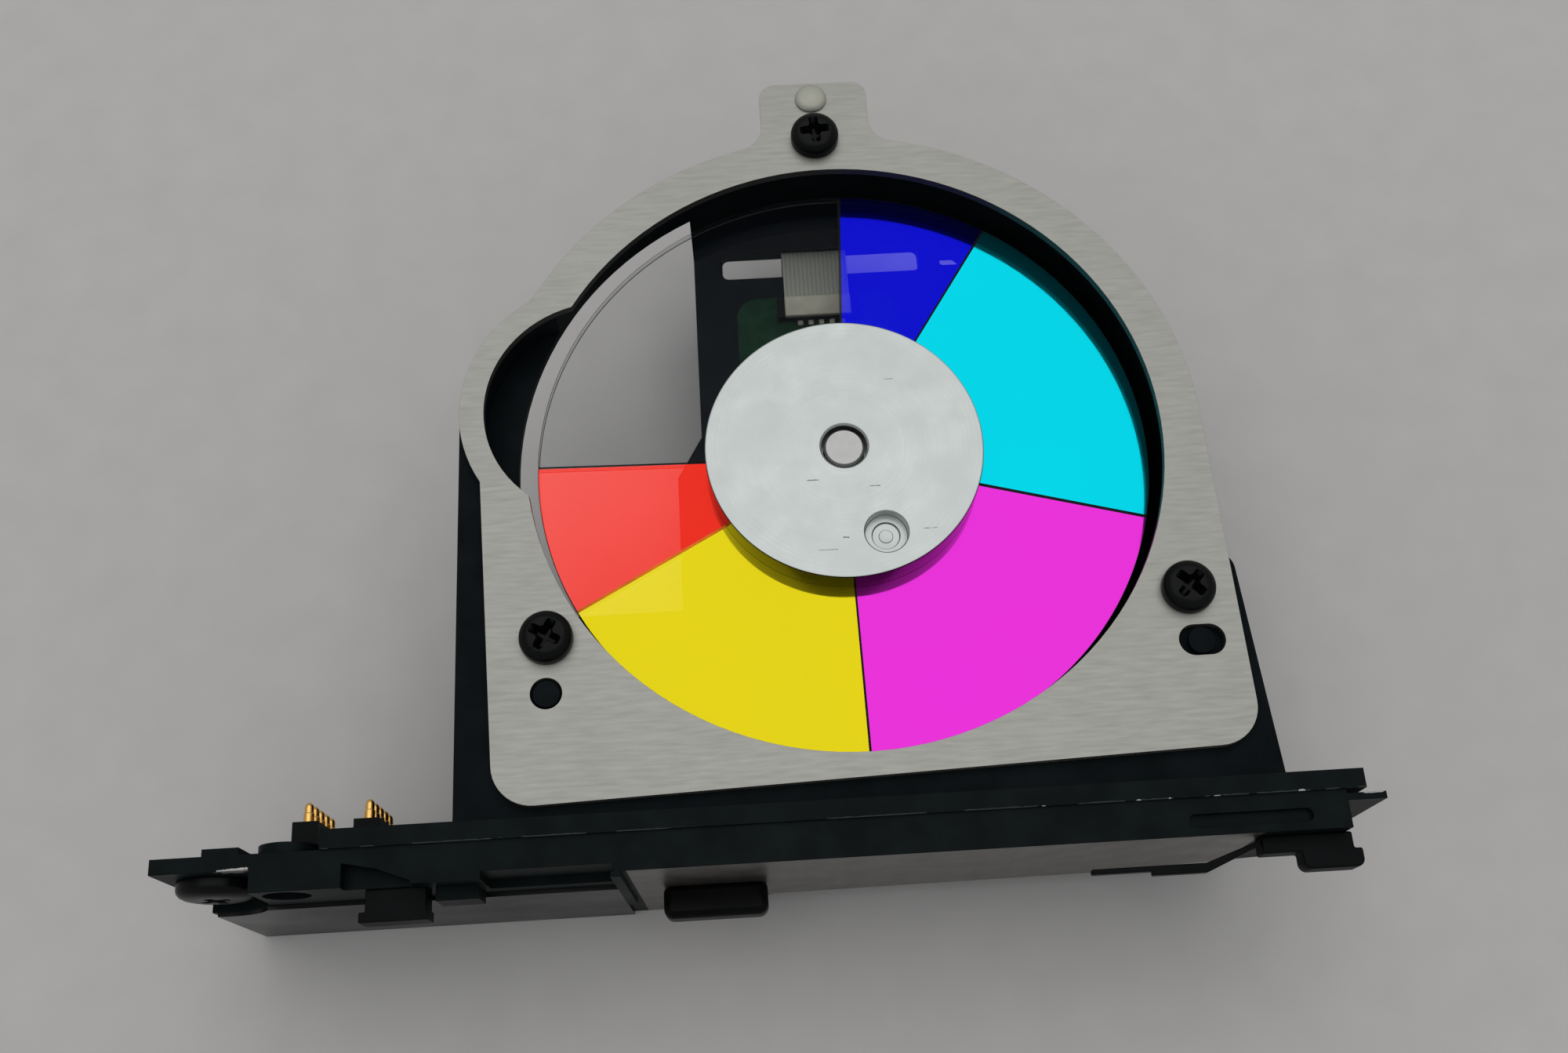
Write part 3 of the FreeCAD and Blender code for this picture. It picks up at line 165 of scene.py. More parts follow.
def bevel(piece: bpy.types.Object, width: float, segments: int = 3, degrees: float = 40.0,
          material: int = -1) -> bpy.types.Object:
    """Round a piece's sharp edges and apply the rounding.

    Args:
        piece: The piece to round.
        width: Width of the rounding in millimetres.
        segments: Steps across the rounding.
        degrees: Edges sharper than this angle are rounded.
        material: Material slot of the rounding, or -1 for that of the faces beside it.

    Returns:
        The rounded piece.
    """
    select_only(piece)
    rounding = piece.modifiers.new("edges", "BEVEL")
    rounding.width = width * MM
    rounding.segments = segments
    rounding.limit_method = "ANGLE"
    rounding.angle_limit = math.radians(degrees)
    rounding.material = material
    bpy.ops.object.modifier_apply(modifier=rounding.name)
    return smooth(piece)


def carve(piece: bpy.types.Object, *cutters: bpy.types.Object) -> None:
    """Cut the shapes of other pieces out of a piece, and remove those pieces.

    Args:
        piece: The piece to cut.
        cutters: The shapes to take away.
    """
    for cutter in cutters:
        select_only(piece)
        removal = piece.modifiers.new("removal", "BOOLEAN")
        removal.operation = "DIFFERENCE"
        removal.solver = "EXACT"
        removal.object = cutter
        bpy.ops.object.modifier_apply(modifier=removal.name)
        bpy.data.objects.remove(cutter)


def turned(name: str, rings: Sequence[Pair], centre: Pair = (0.0, 0.0),
           vertices: int = 96) -> bpy.types.Object:
    """Turn a solid about a Z-parallel axis.

    Args:
        name: The piece's name.
        rings: Radius and height of each ring in millimetres, from the bottom face to the top face.
        centre: The axis, in millimetres.
        vertices: Steps round the axis.

    Returns:
        The closed solid.
    """
    deselect_all()
    radius, height = rings[0]
    place = (centre[0] * MM, centre[1] * MM, height * MM)
    bpy.ops.mesh.primitive_circle_add(vertices=vertices, radius=radius * MM, fill_type="NGON", location=place)
    piece = named(name)
    bpy.ops.object.mode_set(mode="EDIT")
    bpy.ops.mesh.select_all(action="SELECT")
    for (last_radius, last_height), (radius, height) in zip(rings, rings[1:]):
        rise = (0, 0, (height - last_height) * MM)
        bpy.ops.mesh.extrude_region_move(TRANSFORM_OT_translate={"value": rise})
        share = radius / last_radius
        bpy.ops.transform.resize(value=(share, share, 1),
                                 center_override=(centre[0] * MM, centre[1] * MM, height * MM))
    face_out()
    return piece


def brick(name: str, low: Point, high: Point, rounding: float, segments: int = 3) -> bpy.types.Object:
    """Make a box with rounded edges.

    Args:
        name: The piece's name.
        low: Lowest corner in millimetres.
        high: Highest corner in millimetres.
        rounding: Width of the rounding in millimetres.
        segments: Steps across the rounding.

    Returns:
        The rounded box.
    """
    deselect_all()
    middle = [(a + b) / 2 * MM for a, b in zip(low, high)]
    spans = [(b - a) * MM for a, b in zip(low, high)]
    bpy.ops.mesh.primitive_cube_add(size=1, location=middle, scale=spans)
    return bevel(named(name), rounding, segments)


def wedge(name: str, radii: Pair, heights: Pair, start: float, sweep: float,
          step: float = 1.5) -> bpy.types.Object:
    """Sweep a rectangle about the Z axis into a wedge of a flat ring.

    Args:
        name: The piece's name.
        radii: Inner and outer radius in millimetres.
        heights: Heights of the back and front face in millimetres.
        start: Angle of the first end in degrees, anticlockwise from +X.
        sweep: Angle that the wedge spans in degrees.
        step: Largest angle of one step in degrees.

    Returns:
        The closed wedge.
    """
    deselect_all()
    angle = math.radians(start)
    bpy.ops.mesh.primitive_plane_add(size=MM)
    piece = named(name)
    corners_of = [(radius, height) for height in heights for radius in radii]
    for vertex, (radius, height) in zip(piece.data.vertices, corners_of):
        vertex.co = Vector((radius * math.cos(angle), radius * math.sin(angle), height)) * MM
    bpy.ops.object.mode_set(mode="EDIT")
    bpy.ops.mesh.select_all(action="SELECT")
    bpy.ops.mesh.spin(steps=math.ceil(sweep / step), angle=math.radians(sweep), center=(0, 0, 0),
                      axis=(0, 0, -1))
    bpy.ops.mesh.select_all(action="DESELECT")
    bpy.ops.mesh.select_mode(type="EDGE")
    bpy.ops.mesh.select_non_manifold()
    if piece.data.total_edge_sel:
        bpy.ops.mesh.edge_face_add()
    face_out()
    return piece


def softened(name: str, node: str, width: float) -> bpy.types.Object:
    """Copy a node's shape and round its sharp edges.

    Args:
        name: The piece's name.
        node: The node whose shape is copied.
        width: Width of the rounding in millimetres.

    Returns:
        The rounded copy.
    """
    piece = bpy.data.objects.new(name, bpy.data.objects[node].data.copy())
    piece.data.name = name
    bpy.context.scene.collection.objects.link(piece)
    select_only(piece)
    bpy.ops.object.mode_set(mode="EDIT")
    bpy.ops.mesh.select_all(action="SELECT")
    bpy.ops.mesh.remove_doubles(threshold=1e-6)
    bpy.ops.mesh.dissolve_limited(angle_limit=math.radians(0.5))
    bpy.ops.mesh.normals_make_consistent(inside=False)
    bpy.ops.object.mode_set(mode="OBJECT")
    return bevel(piece, width, 2)


def turn_to(piece: bpy.types.Object, turn: Matrix, place: Point = (0.0, 0.0, 0.0)) -> bpy.types.Object:
    """Turn a piece's mesh and set it down at a place given in millimetres."""
    piece.data.transform(Matrix.Translation(Vector(place) * MM) @ turn)
    return piece


def copied(piece: bpy.types.Object, turn: Matrix, place: Point) -> bpy.types.Object:
    """Copy a piece, turned and set down at a place.

    Args:
        piece: The piece to copy.
        turn: The turn of the copy.
        place: The copy's place in millimetres.

    Returns:
        The copy, with a mesh of its own.
    """
    copy = piece.copy()
    copy.data = piece.data.copy()
    bpy.context.scene.collection.objects.link(copy)
    return turn_to(copy, turn, place)


def join(name: str, pieces: Sequence[bpy.types.Object]) -> bpy.types.Object:
    """Join pieces into one object of separate shells.

    Args:
        name: Name of the joined object.
        pieces: The pieces, whose first one takes in the others.

    Returns:
        The joined object.
    """
    select_only(pieces[0])
    for piece in pieces[1:]:
        piece.select_set(True)
    bpy.ops.object.join()
    pieces[0].name = name
    pieces[0].data.name = name
    return pieces[0]


@dataclass(frozen=True)
class PanScrew:
    """A pan-head screw with a cross recess, about the Z axis, whose head stands on z = 0. Millimetres."""

    head_radius: float
    head_height: float
    shank_radius: float
    shank_length: float
    recess_reach: float
    recess_width_share: float = 0.6
    recess_floor_share: float = 0.2
    recess_taper: float = 0.62
    cutter_overshoot: float = 0.6
    head_chamfer: float = 0.1
    tip_chamfer: float = 0.15
    crown: tuple[Pair, ...] = ((1.0, 0.46), (0.975, 0.62), (0.91, 0.78), (0.8, 0.9), (0.66, 0.97), (0.5, 1.0))

    def cutters(self) -> list[bpy.types.Object]:
        """Make the middle cone and the two tapered bars that cut the cross recess.

        Returns:
            The cutters.
        """
        width = self.recess_reach * self.recess_width_share
        floor = self.head_height * self.recess_floor_share
        top = self.head_height + self.cutter_overshoot
        cutters = [turned("recess", [(width * 0.42, floor), (width * 0.95, top)], vertices=24)]
        for reach_x, reach_y in ((self.recess_reach, width / 2), (width / 2, self.recess_reach)):
            bar = brick("recess", (-reach_x, -reach_y, floor), (reach_x, reach_y, top), width * 0.3)
            pick_bottom(bar)
            bpy.ops.transform.resize(value=(self.recess_taper, self.recess_taper, 1),
                                     center_override=(0, 0, floor * MM))
            bpy.ops.object.mode_set(mode="OBJECT")
            cutters.append(bar)
        return cutters

    def build(self, name: str) -> bpy.types.Object:
        """Turn the screw and cut its recess.

        Args:
            name: The piece's name.

        Returns:
            The screw.
        """
        tip = [(self.shank_radius - self.tip_chamfer, -self.shank_length),
               (self.shank_radius, self.tip_chamfer - self.shank_length), (self.shank_radius, 0.0)]
        flank = [(self.head_radius - self.head_chamfer, 0.0), (self.head_radius, self.head_chamfer)]
        crown = [(self.head_radius * share, self.head_height * rise) for share, rise in self.crown]
        screw = turned(name, [*tip, *flank, *crown], vertices=64)
        carve(screw, *self.cutters())
        return smooth(screw, 32.0)


# Finishes


class Shader:
    """A material's node tree, with short calls for the nodes that the finishes share."""

    def __init__(self, name: str, color: Color, roughness: float, metallic: float = 0.0) -> None:
        """Start a material with the values that are the same all over it.

        Args:
            name: The material's name.
            color: Base colour.
            roughness: Roughness.
            metallic: Share of metal.
        """
        self.material = bpy.data.materials.new(name)
        self.material.use_nodes = True
        self.tree = self.material.node_tree
        self.surface = self.tree.nodes["Principled BSDF"]
        self.set("Base Color", (*color, 1))
        self.set("Roughness", roughness)
        self.set("Metallic", metallic)
        coordinates = self.tree.nodes.new("ShaderNodeTexCoord")
        self.point = coordinates.outputs["Object"]
        self.normal = coordinates.outputs["Normal"]

    def set(self, socket: str, value: object) -> None:
        """Set one of the surface's own sockets."""
        self.surface.inputs[socket].default_value = value

    def feed(self, socket: str, source: bpy.types.NodeSocket) -> None:
        """Let a node drive one of the surface's sockets."""
        self.tree.links.new(source, self.surface.inputs[socket])

    def fed(self, socket: str) -> bpy.types.NodeSocket:
        """Return what drives one of the surface's sockets."""
        return self.surface.inputs[socket].links[0].from_socket

    def node(self, kind: str, links: dict, **values: object) -> bpy.types.Node:
        """Add a node, set its properties and feed its sockets.

        Args:
            kind: The node's type without its prefix.
            links: What feeds each socket, by name or number: another socket or a plain value.
            values: Properties of the node.

        Returns:
            The new node.
        """
        made = self.tree.nodes.new(f"ShaderNode{kind}")
        for name, value in values.items():
            setattr(made, name, value)
        for socket, source in links.items():
            if isinstance(source, bpy.types.NodeSocket):
                self.tree.links.new(source, made.inputs[socket])
            else:
                made.inputs[socket].default_value = source
        return made

    def math(self, operation: str, *values: object) -> bpy.types.NodeSocket:
        """Add a sum of one or more values."""
        return self.node("Math", dict(enumerate(values)), operation=operation).outputs[0]

    def vector(self, operation: str, *values: object) -> bpy.types.Node:
        """Add a sum of one or more vectors."""
        return self.node("VectorMath", dict(enumerate(values)), operation=operation)

    def parts(self, source: bpy.types.NodeSocket) -> Sequence[bpy.types.NodeSocket]:
        """Split a vector into X, Y and Z."""
        return self.node("SeparateXYZ", {0: source}).outputs

    def noise(self, scale: float, detail: float = 4.0,
              stretch: Point = (1.0, 1.0, 1.0)) -> bpy.types.NodeSocket:
        """Add noise of a size given per metre, stretched along the axes."""
        mapped = self.node("Mapping", {"Vector": self.point, "Scale": stretch}).outputs[0]
        return self.node("TexNoise", {"Vector": mapped, "Scale": scale, "Detail": detail}).outputs["Fac"]

    def span(self, value: object, low: float, high: float, to_low: float,
             to_high: float) -> bpy.types.NodeSocket:
        """Map one span of a value to another, held at its ends."""
        return self.node("MapRange", {"Value": value, "From Min": low, "From Max": high,
                                      "To Min": to_low, "To Max": to_high}).outputs[0]

    def blend(self, share: bpy.types.NodeSocket, first: object, second: object) -> bpy.types.NodeSocket:
        """Mix two colours, plain ones or sockets, by a share."""
        sides = [side if isinstance(side, bpy.types.NodeSocket) else (*side, 1) for side in (first, second)]
        return self.node("Mix", {0: share, 6: sides[0], 7: sides[1]}, data_type="RGBA").outputs[2]

    def spots(self, places: Sequence[Spot], low: float = 0.55) -> bpy.types.NodeSocket:
        """Mark ragged spots.

        Args:
            places: Centre and reach along the axes of each spot, in millimetres.
            low: Least share of its reach that a spot's ragged edge comes to.

        Returns:
            1 in a spot and 0 elsewhere.
        """
        ragged = self.span(self.noise(1400.0), 0.3, 0.7, low, 1.25)
        share = None
        for place, reach in places:
            centre = tuple(value * MM for value in place)
            inward = tuple(1 / (value * MM) for value in reach)
            scaled = self.vector("MULTIPLY", self.vector("SUBTRACT", self.point, centre).outputs[0], inward)
            away = self.vector("LENGTH", scaled.outputs[0]).outputs["Value"]
            spot = self.math("LESS_THAN", away, ragged)
            share = spot if share is None else self.math("MAXIMUM", share, spot)
        return share

    def relief(self, height: bpy.types.NodeSocket, depth: float, edge: float = 0.0) -> None:
        """Raise the surface by a pattern and soften its edges.

        Args:
            height: The pattern from 0 to 1.
            depth: Depth of the pattern in millimetres.
            edge: Radius of the softened edges in millimetres, or 0.
        """
        links = {"Height": height, "Distance": depth * MM, "Strength": 1.0}
        if edge:
            links["Normal"] = self.node("Bevel", {"Radius": edge * MM}, samples=4).outputs[0]
        self.feed("Normal", self.node("Bump", links).outputs[0])


@dataclass(frozen=True)
class Painted:
    """Paint, plastic or rubber with a fine texture and a soft change of gloss and shade."""

    color: Color
    roughness: float
    gloss: float = 0.12
    texture: float = 0.004
    texture_scale: float = 2500.0
    edge: float = 0.0
    cloud_scale: float = 90.0
    shade_scale: float = 260.0

    def shader(self, name: str) -> Shader:
        """Build the finish on a new material.

        Args:
            name: The material's name.

        Returns:
            The shader, for finishes that add to it.
        """
        shader = Shader(name, self.color, self.roughness)
        shader.set("Specular IOR Level", self.gloss)
        cloud = shader.noise(self.cloud_scale, 5.0)
        shader.feed("Roughness", shader.span(cloud, 0.3, 0.7, self.roughness - 0.06, self.roughness + 0.07))
        lighter = tuple(channel * 1.6 + 0.001 for channel in self.color)
        patches = shader.span(shader.noise(self.shade_scale, 6.0), 0.35, 0.75, 0.0, 1.0)
        shader.feed("Base Color", shader.blend(patches, self.color, lighter))
        shader.relief(shader.noise(self.texture_scale, 3.0), self.texture, self.edge)
        return shader

    def material(self, name: str) -> bpy.types.Material:
        """Build the material under a name."""
        return self.shader(name).material


@dataclass(frozen=True)
class FlangePaint(Painted):
    """Black paint with a bare outer face, chips, and a painted highlight on rubbed paint along one edge."""

    bare: Color = (0.16, 0.15, 0.14)
    bare_left: float = -24.0
    bare_right: float = 37.1
    outer_face: float = -43.5
    facing_out: float = -0.9
    streak_scale: float = 900.0
    polish: Pair = (0.3, 0.4)
    metal_share: float = 0.95
    chip: Color = (0.3, 0.295, 0.28)
    # The lighter line along the step edge is rubbed paint with a painted highlight on it, where the edge
    # catches the light.
    wear_and_highlight: Color = (0.035, 0.04, 0.04)
    wear_and_highlight_scale: float = 420.0
    wear_and_highlight_above: float = 0.47
    wear_and_highlight_edge: Spot = ((0.0, -39.9, 27.3), (1e5, 0.12, 0.12))
    chips: tuple[Spot, ...] = (
        ((-61.4, -41.4, 26.6), (1.6, 0.35, 1.0)), ((-57.7, -42.4, 24.6), (0.3, 0.7, 1.0)),
        ((25.4, -39.9, 27.3), (0.25, 0.14, 0.14)), ((28.4, -39.9, 27.3), (0.18, 0.15, 0.15)),
        ((33.0, -39.9, 27.3), (0.4, 0.1, 0.1)), ((41.2, -39.9, 27.3), (0.4, 0.2, 0.2)),
        ((16.2, -39.9, 27.3), (0.25, 0.11, 0.11)), ((48.0, -40.3, 27.0), (1.2, 0.16, 0.14)))

    def bare_share(self, shader: Shader) -> bpy.types.NodeSocket:
        """Find the bare metal: the outer face between its two ends.

        Args:
            shader: The material to add the nodes to.

        Returns:
            1 on bare metal and 0 elsewhere.
        """
        x, y = shader.parts(shader.point)[:2]
        inside = shader.math("MULTIPLY", shader.math("GREATER_THAN", x, self.bare_left * MM),
                             shader.math("LESS_THAN", x, self.bare_right * MM))
        facing = shader.math("LESS_THAN", shader.parts(shader.normal)[1], self.facing_out)
        outer = shader.math("MULTIPLY", facing, shader.math("LESS_THAN", y, self.outer_face * MM))
        return shader.math("MULTIPLY", inside, outer)

    def material(self, name: str) -> bpy.types.Material:
        """Build the material.

        Args:
            name: The material's name.

        Returns:
            The material.
        """
        shader = self.shader(name)
        bare, chip = self.bare_share(shader), shader.spots(self.chips)
        streaks = shader.span(shader.noise(self.streak_scale, 3.0, (1.0, 1.0, 0.06)), 0.3, 0.7, 0.0, 1.0)
        brushed = shader.blend(streaks, self.bare, tuple(channel * 1.2 for channel in self.bare))
        below = shader.blend(bare, shader.fed("Base Color"), brushed)
        # Mask of the lighter edge line: rubbed paint with a painted highlight.
        broken = shader.math("GREATER_THAN", shader.noise(self.wear_and_highlight_scale, 5.0, (0.4, 1.0, 1.0)),
                             self.wear_and_highlight_above)
        wear_and_highlight_share = shader.math("MULTIPLY", shader.spots([self.wear_and_highlight_edge]), broken)
        shader.feed("Base Color", shader.blend(chip, shader.blend(wear_and_highlight_share, below, self.wear_and_highlight), self.chip))
        metal = shader.math("MAXIMUM", bare, chip)
        shader.feed("Metallic", shader.math("MULTIPLY", metal, self.metal_share))
        polished = shader.span(shader.noise(300.0), 0.3, 0.7, *self.polish)
        mixed = shader.node("Mix", {0: bare, 2: shader.fed("Roughness"), 3: polished}).outputs[0]
        shader.feed("Roughness", mixed)
        return shader.material


@dataclass(frozen=True)
class Bare:
    """Bare metal with fine lines that run straight, run round its axis or are cast at random."""

    color: Color
    roughness: float
    grain: Grain = Grain.CAST
    line: float = 0.0015
    metallic: float = 1.0
    edge: float = 0.08
    rolled_scale: float = 2600.0
    turned_scale: float = 3600.0
    cast_scale: float = 1500.0

    def lines(self, shader: Shader) -> bpy.types.NodeSocket:
        """Build the height pattern of the finish's lines.

        Args:
            shader: The material to add the nodes to.

        Returns:
            The pattern from 0 to 1.
        """
        if self.grain is Grain.ROLLED:
            return shader.noise(self.rolled_scale, 3.0, (0.12, 1.0, 1.0))
        if self.grain is Grain.CAST:
            return shader.noise(self.cast_scale, 6.0)
        x, y, z = shader.parts(shader.point)
        flat = shader.node("CombineXYZ", {0: x, 1: y}).outputs[0]
        radius = shader.vector("LENGTH", flat).outputs["Value"]
        along = shader.node("CombineXYZ", {0: radius, 1: z}).outputs[0]
        fine = shader.node("TexNoise", {"Vector": along, "Scale": self.turned_scale, "Detail": 5.0})
        broken = shader.span(shader.noise(240.0, 3.0), 0.35, 0.65, 0.35, 1.0)
        return shader.math("MULTIPLY", fine.outputs["Fac"], broken)

    def material(self, name: str) -> bpy.types.Material:
        """Build the material.

        Args:
            name: The material's name.

        Returns:
            The material.
        """
        shader = Shader(name, self.color, self.roughness, self.metallic)
        height = self.lines(shader)
        darker = tuple(channel * 0.93 for channel in self.color)
        shader.feed("Base Color", shader.blend(shader.noise(130.0, 6.0), darker, self.color))
        shader.feed("Roughness", shader.span(height, 0.2, 0.8, self.roughness - 0.06, self.roughness + 0.08))
        shader.relief(height, self.line, self.edge)
        return shader.material


@dataclass(frozen=True)
class ScratchedHub(Bare):
    """Turned aluminium face with faint rings, duller patches and a few short scratches."""

    grain: Grain = Grain.TURNED
    line: float = 0.0012
    edge: float = 0.05
    patch_scale: float = 210.0
    scratch: Color = (0.16, 0.16, 0.16)
    scratches: tuple[Spot, ...] = (
        ((2.9, -4.8, 25.3), (0.8, 0.1, 1.0)), ((-0.6, -10.4, 25.3), (0.5, 0.16, 1.0)),
        ((-2.4, -11.7, 25.3), (1.0, 0.07, 1.0)), ((8.5, -9.9, 25.3), (1.2, 0.06, 1.0)),
        ((-3.5, -3.8, 25.3), (0.6, 0.08, 1.0)), ((5.2, 7.6, 25.3), (0.9, 0.05, 1.0)))

    def material(self, name: str) -> bpy.types.Material:
        """Build the material.

        Args:
            name: The material's name.

        Returns:
            The material.
        """
        shader = Shader(name, self.color, self.roughness, self.metallic)
        height = self.lines(shader)
        swirl = shader.math("MULTIPLY", shader.span(height, 0.15, 0.6, 0.0, 1.0),
                            shader.span(shader.noise(self.patch_scale, 5.0), 0.3, 0.62, 0.2, 1.0))
        rings = shader.blend(swirl, tuple(channel * 0.78 for channel in self.color), self.color)
        shader.feed("Base Color", shader.blend(shader.spots(self.scratches, 0.1), rings, self.scratch))
        shader.feed("Roughness", shader.span(height, 0.2, 0.7, self.roughness - 0.05, self.roughness + 0.08))
        shader.relief(height, self.line, self.edge)
        return shader.material


@dataclass(frozen=True)
class CoatedGlass:
    """Coloured mirror coating that lets a share of the light through."""

    color: Color
    cover: float
    metallic: float = 0.93
    roughness: float = 0.08
    smoothest: float = 0.05
    roughest: float = 0.1
    gloss: float = 0.1

    def material(self, name: str) -> bpy.types.Material:
        """Build the material.

        Args:
            name: The material's name.

        Returns:
            The material.
        """
        shader = Shader(name, self.color, self.roughness, self.metallic)
        shader.set("Alpha", self.cover)
        shader.set("Specular IOR Level", self.gloss)
        deeper = tuple(channel * 0.93 for channel in self.color)
        shader.feed("Base Color", shader.blend(shader.noise(45.0, 3.0), deeper, self.color))
        shader.feed("Roughness", shader.span(shader.noise(600.0), 0.3, 0.8, self.smoothest, self.roughest))
        return shader.material


@dataclass(frozen=True)
class ClearGlass:
    """Clear glass, or its ground edge."""

    color: Color
    cover: float
    roughness: float
    gloss: float
    index: float = 1.52

    def material(self, name: str) -> bpy.types.Material:
        """Build the material.

        Args:
            name: The material's name.

        Returns:
            The material.
        """
        shader = Shader(name, self.color, self.roughness)
        shader.set("Alpha", self.cover)
        shader.set("IOR", self.index)
        shader.set("Specular IOR Level", self.gloss)
        shader.feed("Roughness", shader.span(shader.noise(300.0, 3.0), 0.3, 0.8, self.roughness,
                                             self.roughness + 0.05))
        return shader.material


@dataclass(frozen=True)
class BoardMask:
    """Solder mask over copper traces, seen as lighter lines, with rings round the vias."""

    color: Color
    trace: Color
    trace_pitch: float = 2.52
    via_pitch: float = 3.08
    turn: Point = (0.6, 0.6, 0.5)

    def material(self, name: str) -> bpy.types.Material:
        """Build the material.

        Args:
            name: The material's name.

        Returns:
            The material.
        """
        shader = Shader(name, self.color, 0.45)
        shader.set("Specular IOR Level", 0.03)
        slanted = shader.node("Mapping", {"Vector": shader.point, "Rotation": self.turn}).outputs[0]
        cells = shader.node("TexVoronoi", {"Vector": slanted, "Scale": 1 / (self.trace_pitch * MM)},
                            feature="DISTANCE_TO_EDGE").outputs["Distance"]
        lines = shader.span(cells, 0.05, 0.07, 1.0, 0.0)
        dots = shader.node("TexVoronoi", {"Vector": shader.point, "Scale": 1 / (self.via_pitch * MM)})
        vias = shader.span(dots.outputs["Distance"], 0.1, 0.13, 1.0, 0.0)
        shader.feed("Base Color", shader.blend(shader.math("MAXIMUM", lines, vias), self.color, self.trace))
        shader.relief(lines, 0.02)
        return shader.material


@dataclass(frozen=True)
class StripedFilm:
    """Flat cable: film over bare strips that run along it."""

    film: Color
    strip: Color
    pitch: float
    left: float

    def material(self, name: str) -> bpy.types.Material:
        """Build the material.

        Args:
            name: The material's name.

        Returns:
            The material.
        """
        shader = Shader(name, self.film, 0.35)
        shader.set("Specular IOR Level", 0.3)
        across = shader.math("SUBTRACT", shader.parts(shader.point)[0], self.left * MM)
        turns = shader.math("DIVIDE", across, self.pitch * MM)
        wave = shader.math("SINE", shader.math("MULTIPLY", turns, 2 * math.pi))
        strips = shader.span(wave, -0.25, 0.15, 0.0, 1.0)
        shader.feed("Base Color", shader.blend(strips, self.film, self.strip))
        shader.relief(strips, 0.03)
        return shader.material


BLACK_CAST = Painted((0.0028, 0.0046, 0.0054), 0.5, 0.03, 0.004, 2600.0, 0.12)
BLACK_FLANGE = FlangePaint((0.0028, 0.005, 0.0054), 0.42, 0.04, 0.003, 2200.0, 0.12)
BLACK_SCREW = Painted((0.0018, 0.0021, 0.002), 0.3, 0.1, 0.002, 3000.0)
BLACK_PLASTIC = Painted((0.0018, 0.0022, 0.0024), 0.42, 0.05, 0.003, 2600.0)
BLACK_RUBBER = Painted((0.0012, 0.0014, 0.0014), 0.34, 0.06, 0.002, 2000.0)
COVER_SHEET = Painted((0.005, 0.005, 0.0046), 0.26, 0.13, 0.001, 1800.0)
WHITE_PLASTIC = Painted((0.32, 0.31, 0.25), 0.45, 0.3, 0.002, 2500.0)
SEAM_BLACK = Painted((0.004, 0.004, 0.006), 0.5, 0.1, 0.0, 2000.0)
SEAM_ORANGE = Painted((0.7, 0.16, 0.01), 0.5, 0.1, 0.0, 2000.0)
ROLLED_SHEET = Bare((0.335, 0.332, 0.304), 0.5, Grain.ROLLED, 0.0005, edge=0.0)
# Walls of the sheet's openings, painted darker than the steel: painted shade.
PUNCHED_EDGE_SHADE = Bare((0.1, 0.1, 0.095), 0.6, line=0.002, edge=0.0)
TURNED_HUB = ScratchedHub((0.5, 0.53, 0.515), 0.36)
# The hub's outer side is the hub metal made near-black: painted shade.
HUB_SIDE_SHADE = Bare((0.02, 0.02, 0.0195), 0.16, Grain.TURNED, 0.0006, edge=0.0)
PLAIN_ALUMINIUM = Bare((0.55, 0.56, 0.57), 0.36, Grain.TURNED)
PLATED_STEEL = Bare((0.36, 0.36, 0.35), 0.34)
FERRITE = Bare((0.05, 0.05, 0.055), 0.6, metallic=0.2)
BRONZE = Bare((0.45, 0.3, 0.16), 0.45)
COPPER = Bare((0.6, 0.25, 0.1), 0.35)
GOLD = Bare((0.82, 0.48, 0.14), 0.26, line=0.0008, edge=0.0)
RIVET = Bare((0.42, 0.42, 0.36), 0.6, metallic=0.5, line=0.02, edge=0.0)
GREEN_BOARD = BoardMask((0.005, 0.028, 0.012), (0.009, 0.042, 0.019))
RIBBON_FILM = StripedFilm((0.27, 0.28, 0.24), (0.33, 0.345, 0.3), 0.5, -4.9)
CLEAR_FACE = ClearGlass((0.012, 0.018, 0.028), 0.06, 0.03, 0.35)
GROUND_EDGE = ClearGlass((0.03, 0.033, 0.033), 0.22, 0.25, 0.05)
# Dark, nearly opaque chamfer on the glass edges: painted shade for the dark line that a glass edge shows.
EDGE_CHAMFER_SHADE = ClearGlass((0.03, 0.034, 0.032), 0.8, 0.35, 0.12)

Finish = Painted | Bare | BoardMask | StripedFilm
KEPT_NODES: dict[str, Finish] = {
    "wheel_housing": BLACK_CAST, "motor_base": PLATED_STEEL, "motor_screws": BLACK_SCREW,
    "bearing_sleeve": BRONZE, "thrust_pad": WHITE_PLASTIC, "stator_core": FERRITE, "stator_coils": COPPER,
    "motor_board": GREEN_BOARD, "index_sensor": BLACK_PLASTIC, "ribbon": RIBBON_FILM,
    "contact_board": GREEN_BOARD, "board_screws": BLACK_SCREW, "base_flange": BLACK_FLANGE,
    "flange_screws": BLACK_SCREW, "cover_sheet": COVER_SHEET, "wheel_carrier": PLAIN_ALUMINIUM,
    "rotor_bell": PLATED_STEEL, "rotor_magnet": FERRITE, "shaft": PLATED_STEEL, "index_mark": BLACK_PLASTIC,
}


def paint(piece: bpy.types.Object, *materials: bpy.types.Material) -> None:
    """Give a piece its materials.

    Args:
        piece: The piece to dress.
        materials: The materials in slot order.
    """
    piece.data.materials.clear()
    for material in materials:
        piece.data.materials.append(material)


def settle(piece: bpy.types.Object, body: Body, slot: str, *nodes: str) -> None:
    """Let a piece ride on its body and stand for its nodes.

    Args:
        piece: The finished piece.
        body: The body that carries it.
        slot: The record's material slot; not used.
        nodes: The nodes that it stands for, if any.
    """
    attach(piece, body.value)
    if nodes:
        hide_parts(*nodes)
    log.info("%s on %s: %d faces", piece.name, body.value, len(piece.data.polygons))


